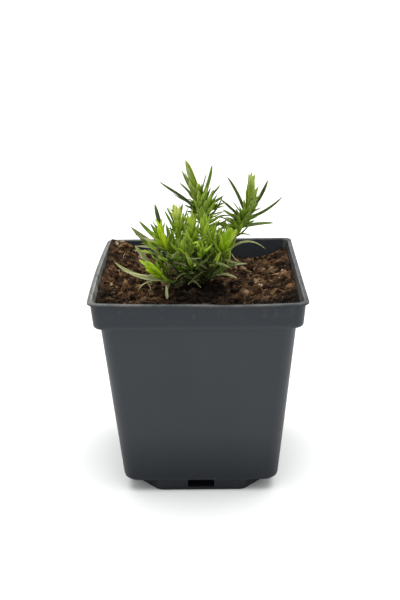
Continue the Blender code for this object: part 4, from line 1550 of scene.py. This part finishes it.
# %% young leaves placed on the left stem
place_leaves(
    "left", "young",
    (170, 251, -2, 163, 234, -6, 2.2, 1.7), (164, 243, 0, 159, 227, -4, 2.2, 0.1),
    (166, 246, 0, 162, 232, -5, 2.2, 0.95), (166, 247, 0, 164, 233, -5, 2.2, 1.1),
    (163, 244, 1, 154, 228, -1, 2.2, -0.5), (163, 248, 0, 156, 238, -5, 2.2, -0.4),
    (162, 248, -1, 158, 229, -5, 2.6, -0.3), (164, 250, -1, 162, 232, -6, 2.8, 1.1),
)

# %% grown leaves placed on the left stem
place_leaves(
    "left", "mature",
    (162, 245, 0, 152, 231, -3, 2.2, 0.9), (165, 246, 1, 168, 232, -1, 1.8, 0.5),
    (162, 248, 0, 151, 241, -2, 2, 0.8), (161, 249, 0, 147, 240, 2, 1.6, 0.35),
    (166, 250, 0, 170, 240, -3, 1.8, 0.6), (160, 251, 0, 141, 243, 4, 1.5, 0.2),
    (165, 252, 0, 158, 246, -6, 2, 0.7), (160, 244, 1, 150, 223, 1, 2.2, 0.15),
    (161, 247, 1, 147, 230, 2, 2.2, 0.2), (163, 247, 1, 155, 226, 0, 2.2, 0.3),
    (150, 246, 4, 132, 229, 4, 1.6, 0.1), (160, 250, -1, 152, 234, -4, 2.6, 0.8),
    (166, 250, -1, 168, 234, -5, 2.6, 0.7), (168, 252, -2, 173, 238, -5, 2.4, 0.55),
    (158, 252, 0, 146, 240, -2, 2.2, 0.4), (160, 254, -2, 150, 247, -5, 2.2, 0.35),
    (158, 255, -1, 133, 250, 1, 1.4, 0.3, 0.04), (163, 243, 0, 155, 224, -1, 2.4, 0.25),
)

# %% young leaves placed on the low left stem
place_leaves(
    "low_left", "young",
    (156, 279, -13, 142, 263, -17, 2.4, 1), (157, 280, -14, 145, 270, -18, 2.4, 0.9),
    (159, 278, -12, 149, 266, -19, 2.4, 0.3), (160, 279, -12, 154, 268, -18, 2.2, 0.4),
    (162, 280, -11, 152, 275, -19, 2, 0.5), (158, 276, -11, 150, 262, -11, 2, 0.6),
)

# %% grown leaves placed on the low left stem
place_leaves(
    "low_left", "mature",
    (161, 279, -11, 161, 268, -14, 2.2, 0.8),
)

# %% old leaves placed on the side shoots
place_leaves(
    "side", "old",
    (158, 262, -5, 147, 249, -4, 1.4, 0.5, 0.12), (163, 260, -6, 154, 247, -6, 1.4, 0.4, 0.1),
    (168, 257, -12, 178, 251, -10, 1.3, 0.5, 0.05), (187, 258.5, -13, 201, 258, -14, 1, 0.15, 0.06),
    (190, 263, -14, 207, 269, -15, 1.2, 0.4, 0.08), (172, 267, -12, 187, 266, -13, 1.4, 0.3, 0.08),
    (188, 285, -20, 204, 271, -14, 1.2, 0, 0.03), (193, 281, -20, 201, 288, -22, 1, 0, 0.03),
    (176, 280, -18, 186, 273, -14, 1.2, 0.3, 0.1), (224, 259, -5, 238, 263, -7, 1.2, 0.4, 0.1),
    (213, 274, -12, 225, 273, -12, 1.2, 0.1, 0.06), (232, 254, -2, 241, 262, -3, 1.2, 0.5, 0.12),
    (221, 262, -8, 230, 268, -9, 1.4, 0.5, 0.1),
)

# %% grown leaves placed on the side shoots
place_leaves(
    "side", "mature",
    (204, 233, -2, 188, 244, -6, 1.6, 1, 0.06), (205, 240, -4, 193, 247, -9, 1.5, 0.9, 0.08),
    (191, 236, 0, 187, 212, -1, 2.2, 0.95), (191, 234, 0, 192, 210, -2, 2.2, 1),
    (191, 236, 0, 196, 215, -2, 2.2, 0.95), (190, 238, 0, 183, 222, -2, 2, 0.7),
    (191, 240, -1, 188, 226, -5, 2.2, 0.75), (192, 240, -1, 198, 228, -5, 2, 0.4),
    (190, 243, -1, 181, 232, -4, 2, 0.7), (193, 244, -2, 202, 234, -5, 1.8, 0.85),
    (205, 250, -4, 198, 236, -8, 2.2, 0.4), (206, 250, -4, 207, 234, -7, 2.2, 0.45),
    (204, 253, -5, 194, 244, -9, 2, 0.45), (207, 254, -5, 213, 243, -9, 2, 0.55),
    (205, 256, -6, 203, 245, -12, 2.2, 0.5), (178, 256, -6, 170, 243, -8, 2, 0.45),
    (179, 254, -6, 177, 240, -9, 2.2, 0.4), (180, 255, -6, 187, 243, -9, 2, 0.35),
    (178, 259, -7, 167, 252, -9, 1.8, 0.35), (181, 259, -7, 191, 251, -11, 1.8, 0.5),
    (179, 262, -8, 178, 250, -13, 2.2, 0.25), (182, 264, -8, 186, 252, -13, 2, 0.2),
    (175, 264, -8, 166, 255, -13, 2.2, 0.2), (163, 268, -8, 152, 256, -9, 1.8, 0.25),
    (164, 266, -8, 161, 252, -10, 2, 0.25), (166, 270, -9, 158, 258, -13, 2.2, 0.2),
    (167, 270, -9, 171, 257, -12, 2, 0.15), (168, 274, -10, 164, 263, -14, 1.8, 0.35),
    (170, 265, -10, 158, 255, -13, 2.4, 0.2), (208, 272, -8, 200, 262, -12, 2, 0.3),
    (209, 271, -8, 207, 258, -12, 2, 0.35), (211, 271, -8, 216, 259, -11, 2, 0.2),
    (213, 273, -8, 224, 265, -10, 1.8, 0.2), (206, 274, -9, 195, 268, -13, 1.8, 0.1),
    (190, 276, -9, 184, 265, -13, 1.8, 0.15), (192, 275, -9, 196, 264, -13, 1.8, 0.15),
    (188, 278, -9, 178, 271, -13, 1.6, 0.25), (190, 236, 2, 184, 216, 1, 2.2, 1),
    (191, 238, 1, 190, 216, -1, 2.2, 1), (192, 238, 0, 194, 214, -2, 2.2, 0.95),
    (193, 240, 0, 199, 222, -3, 2.6, 0.55), (189, 240, 0, 183, 225, -2, 2.4, 0.7),
    (187, 243, 0, 179, 230, -2, 2.4, 0.6), (190, 246, -2, 186, 230, -5, 2.6, 0.75),
    (194, 246, -2, 196, 231, -6, 2.6, 0.65), (197, 248, -2, 203, 236, -6, 2.6, 0.6),
    (199, 245, -2, 207, 233, -5, 2.4, 0.65), (184, 248, -3, 177, 238, -6, 2.4, 0.7),
    (186, 250, -4, 184, 237, -8, 2.6, 0.6), (193, 252, -5, 191, 238, -9, 2.6, 0.6),
    (200, 252, -5, 201, 239, -9, 2.6, 0.55), (213, 244, -1, 216, 224, -3, 2.2, 1),
    (214, 246, -1, 222, 228, -3, 2.2, 0.95), (217, 247, -2, 228, 230, -4, 2.4, 0.6),
    (226, 246, 2, 232, 228, 0, 2.2, 0.55), (228, 248, 2, 237, 234, 0, 2.2, 0.5),
    (212, 246, -2, 209, 229, -5, 2.4, 0.7), (220, 246, 1, 225, 226, 0, 1.8, 0.8),
    (172, 250, -1, 168, 231, -3, 2.2, 0.3), (172, 246, 0, 166, 224, 0, 2.2, 0.3),
    (175, 244, 1, 169.5, 222, 1, 1.8, 0.35), (170, 252, -1, 165, 234, -3, 2, 0.35),
    (174, 249, 0, 172, 230, -2, 2.2, 0.4), (222, 246, 1, 222, 226, 0, 1.8, 0.9),
    (224, 247, 1, 227, 226, 1, 1.8, 0.6), (214, 226, 2, 229, 218, 3, 1.2, 0.22, 0.1),
    (216, 232, 2, 230, 224, 3, 1.2, 0.25, 0.1), (232, 233, 4, 221, 221, 3, 1.2, 0.25, 0.08),
    (230, 238, 3, 219, 229, 2, 1.2, 0.3, 0.1),
)

# %% old leaves placed on the middle stem
place_leaves(
    "centre", "old",
    (180, 213, 9, 167.5, 207, 9, 1.6, 0.35, 0.08),
)

# %% old leaves placed on the low left stem
place_leaves(
    "low_left", "old",
    (153, 283, -14, 138, 291, -18, 1, 0.9, 0.2), (152, 282, -15, 142, 286, -16, 1, 0.95, 0.15),
    (147, 283, -16, 151, 291, -18, 1, 0.85, 0.1), (167, 299, -16, 166, 284, -13, 1.4, 0.95),
    (157, 281.5, -13, 120, 270, -13, 1.2, 0.8, -0.04),
)

# %% old leaves placed on the left stem
place_leaves(
    "left", "old",
    (158, 247, 1, 143, 237.5, 2, 1.6, 0.85), (160, 253, 0, 136, 246, 2, 1.5, 0.5, 0.04),
    (160, 250, 0, 134, 234, 3, 1.2, 0.3, -0.04),
)

# %% [markdown]
# Between those leaves the real plant has many more, in pairs, each pair turned by a right angle from the
# one below, with a tuft of small new leaves in the angle of most of them. They are grown by these same
# rules: a table says how long the leaves are and how far they spread at each share of a stem. A leaf that
# would run into one already grown, into the mix or into the pot is left out.

# %% growing pairs of leaves
# For each shoot, rows of: share of the stem, length of leaf in mm, spread from the stem in degrees.
GROWTH = {
    "main": ((0.12, 11, 80), (0.45, 10, 55), (0.62, 8, 30), (0.80, 9, 34), (1.0, 9, 12)),
    "right": ((0.12, 11, 80), (0.45, 9, 55), (0.65, 6.5, 35), (0.80, 9, 36), (1.0, 10, 10)),
    "left": ((0.15, 11, 80), (0.50, 11, 55), (0.80, 9, 35), (1.0, 9, 12)),
    "centre": ((0.15, 11, 80), (0.50, 10, 55), (0.80, 8, 30), (1.0, 7, 12)),
    "low_left": ((0.20, 9, 80), (0.60, 9, 55), (1.0, 9, 15)),
    "front_right": ((0.15, 10, 80), (0.50, 11, 55), (0.80, 10, 32), (1.0, 9, 12)),
    "low_right": ((0.20, 9, 80), (0.70, 9, 50), (1.0, 7, 15)),
    "low_front": ((0.20, 9, 80), (0.70, 9, 50), (1.0, 7, 15)),
}
SIDE_GROWTH = ((0.25, 9, 75), (0.60, 9, 50), (0.85, 8, 32), (1.0, 8, 12))
# A leaf keeps this far from other leaves and from the mix, and inside the pot up to this height, in mm.
CLEAR, MIX_CLEAR = 0.75, 0.4
POT_REACH, POT_HEIGHT = 41.0, 97.0
# Leaves that lay on the damp mix have rotted away, so the cushion starts this high and rises outwards.
SKIRT_HEIGHT = 89.5
SKIRT_SLOPE = 0.38
SKIRT_FRONT = -9.0
# Right of this line no leaf grows lower than this.
RIGHT_EDGE, RIGHT_HEIGHT = 15.5, 107.0
# Leaves above a share of a stem are young, and below another some of them, by chance, are old.
YOUNG_SHARE = 0.86
OLD_SHARE, OLD_CHANCE = 0.35, 0.3
# A leaf of a pair is tried this often, and leans out more below this share.
TRIES = 3
DROOP_SHARE = 0.4
# Leaves in a tuft: low on a stem, and in the rosette at its tip, above this share.
TUFT, ROSETTE = 3, 4
ROSETTE_SHARE = 0.85

lots = random.Random(2218)


def in_rows(rows, share):
    """Length and spread at a share of a stem, between the rows of a growth table."""
    for (low, *before), (high, *after) in zip(rows, rows[1:]):
        if share <= high:
            part = max(0.0, (share - low) / (high - low))
            return [start + (end - start) * part for start, end in zip(before, after)]
    return list(rows[-1][1:])


def has_room(route, lifted):
    """Whether a leaf keeps clear of the mix, the pot and the leaves already grown."""
    for place in route[3:]:
        inside = max(abs(place.x), abs(place.y)) < POT_REACH
        if place.z < ground_height(place.x, place.y) + MIX_CLEAR or place.z < POT_HEIGHT and not inside:
            return False
        if place.z < SKIRT_HEIGHT and place.y < SKIRT_FRONT:
            return False
        if place.z < RIGHT_HEIGHT and place.x > RIGHT_EDGE:
            return False
        off_crown = math.hypot(place.x - CROWN_PLACE[0], place.y - CROWN_PLACE[1])
        if lifted and place.z < SKIRT_HEIGHT + SKIRT_SLOPE * off_crown:
            return False
    points = np.array([tuple(point) for point in route[5::2]])
    others = np.concatenate(crowd)
    near = np.linalg.norm(points[:, None] - others[None], axis=2)
    return near.min() > CLEAR


half_way = in_rows(GROWTH["main"], 0.5)
print("length and spread half way up the tall stem:", [round(value, 1) for value in half_way])


# %% one grown leaf
def grow_leaf(key, stem, index, turn, length, spread, half_width, tone, arch):
    """One leaf on a stem. Returns whether there was room for it."""
    index = min(max(index, 1), len(stem) - 2)
    along = (stem[index + 1] - stem[index - 1]).normalized()
    first = along.cross(Vector((0.3, 1, 0.2))).normalized()
    out = Quaternion(along, turn) @ first
    foot = stem[index] + out * 0.35
    tip = foot + (along * math.cos(spread) + out * math.sin(spread)) * length
    across = Quaternion(along, lots.gauss(0, 0.15)) @ along.cross(out)
    route = arched_route(foot, tip, across, arch)
    if not has_room(route, key[0] != "low_left"):
        return False
    tone -= shade_at(route[len(route) // 2])
    add_leaf(foliage.setdefault(key, Heap()), route, across, half_width, tone, lots.uniform(0.8, 1.3))
    keep_clear(route[4::2])
    return True


print("leaves before growing:", len(crowd))


# %% the leaves of one shoot
def tone_at(key, share, lowest, rise, spread):
    """Young leaves have the tone of their shoot. The others are lighter the higher they sit."""
    tone = YOUNG_TONES[key[0]] if key[1] == "young" else lowest + rise * share
    return held(tone + lots.gauss(0, spread))


def grow_one_of_pair(key, stem, index, turn, length, spread, share):
    """A leaf of a pair, tried again at another angle where there is no room for it."""
    for _ in range(TRIES):
        angle = math.radians(spread + lots.gauss(0, 9))
        arch = lots.gauss(0.05, 0.06) + (0.06 if share < DROOP_SHARE else 0)
        tone = tone_at(key, share, 0.02, 0.85, 0.12)
        long = length * lots.uniform(0.78, 1.1)
        sideways = turn + lots.gauss(0, 0.25)
        if grow_leaf(key, stem, index, sideways, long, angle, lots.uniform(0.8, 1.1), tone, arch):
            return True
    return False


def grow_tuft(key, stem, index, length, share):
    """Small new leaves in the angle of a pair."""
    grown = 0
    for _ in range(TUFT if share < ROSETTE_SHARE else ROSETTE):
        angle = math.radians(lots.uniform(8, 34))
        small = length * lots.uniform(0.35, 0.65)
        tone = tone_at(key, share, 0.2, 0.6, 0.15)
        turn = lots.uniform(0, math.tau)
        grown += grow_leaf(key, stem, index, turn, small, angle, lots.uniform(0.5, 0.75), tone, 0.04)
    return grown


def grow_shoot(shoot, stem, rows):
    """Pairs of leaves up one stem, with tufts in their angles. Returns how many leaves have grown."""
    span = sum((end - start).length for start, end in zip(stem, stem[1:]))
    walked, turn, grown = rows[0][0] * span, lots.uniform(0, math.pi), 0
    while walked <= span:
        share = walked / span
        index = round(share * (len(stem) - 1))
        length, spread = in_rows(rows, share)
        young = share > YOUNG_SHARE and shoot != "side"
        old = share < OLD_SHARE and lots.random() < OLD_CHANCE
        age = "young" if young else "old" if old else "mature"
        for side in (0, math.pi):
            grown += grow_one_of_pair((shoot, age), stem, index, turn + side, length, spread, share)
        grown += grow_tuft((shoot, "young" if young else "mature"), stem, index, length, share)
        walked += NODE_PITCH * lots.uniform(0.85, 1.1)
        turn += math.pi / 2 + lots.gauss(0, 0.2)
    return grown


for name, route in stem_routes.items():
    print(f"leaves grown on {name}:", grow_shoot(name, route, GROWTH[name]))

# %% side shoots
side_stems = Heap()
grown = 0
for route in side_routes:
    side_stems.add_tube(route, stem_radii(route, 0.55, 0.36), 10, 0.5)
    grown += grow_shoot("side", route, SIDE_GROWTH)
item = side_stems.to_piece("side_stems", stem_skin)
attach(item, "root")
print("leaves on the side shoots:", grown)

# %% [markdown]
# The finish of a leaf depends on its age. New leaves are a bright yellow-green, grown ones a mid green that
# darkens towards the crown, and old ones fade to grey-green and straw. All of them are thin enough for some
# light to pass, which is why a little subsurface scattering is worth its time here.

# %% finishes of the leaves
# For each age: dark, middle and light colour along the tone, then the colour at the tip.
LEAF_COLOURS = {
    "young": ((0.10, 0.15, 0.010), (0.230, 0.320, 0.024), (0.75, 0.81, 0.22), (0.50, 0.52, 0.22)),
    "vivid": ((0.10, 0.20, 0.005), (0.33, 0.51, 0.012), (0.58, 0.75, 0.02), (0.42, 0.50, 0.08)),
    "mature": ((0.036, 0.052, 0.014), (0.165, 0.270, 0.016), (0.42, 0.58, 0.05), (0.26, 0.29, 0.11)),
    "old": ((0.070, 0.082, 0.022), (0.20, 0.22, 0.08), (0.42, 0.43, 0.21), (0.34, 0.29, 0.15)),
}


def leaf_finish(age):
    """Mottled green, paler low down, with a pale foot, a dull tip and painted shade along the middle."""
    dark, middle, light, end = LEAF_COLOURS[age]
    finish = new_finish(f"leaf_{age}_skin", Roughness=0.55, Specular_IOR_Level=0.25)
    mottle = combine(finish, "SUBTRACT", grain(finish, 380, 3, 0.6), 0.5)
    mottle = combine(finish, "MULTIPLY", mottle, 0.5)
    height = parts_of(finish, coordinates(finish))["Z"]
    paler_below = over_mm(finish, height, 108, 122, 0.12, -0.12)
    tone = combine(finish, "ADD", from_mesh(finish, "tone"), mottle, paler_below)
    colour = colour_scale(finish, tone, ((0.05, dark), (0.5, middle), (0.95, light)))
    share = from_mesh(finish, "share")
    colour = layered(finish, colour, (
        (ranged(finish, share, 0.72, 1.0, 0.0, 0.6), end),
        (ranged(finish, share, 0.0, 0.18, 0.35, 0.0), light),
        # Painted shade along the groove and the keel.
        (combine(finish, "MULTIPLY", from_mesh(finish, "middle"), 0.28), dark),
    ))
    set_shader(finish, Base_Color=colour, Normal=bump(finish, grain(finish, 1800, 3, 0.6), 0.05 * MM, 0.4))
    set_shader(finish, Subsurface_Weight=0.35, Subsurface_Radius=(0.8, 1.0, 0.2), Subsurface_Scale=0.6 * MM)
    return finish


leaf_finishes = {age: leaf_finish(age) for age in LEAF_COLOURS}
for (shoot, age), heap in foliage.items():
    look = "vivid" if age == "young" and shoot in VIVID_SHOOTS else age
    item = heap.to_piece(f"leaves_{shoot}_{age}", leaf_finishes[look], smooth_angle=55)
    if (shoot, age) in replaced:
        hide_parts(*replaced[shoot, age])
    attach(item, "root")
print("leaves in all:", len(crowd))
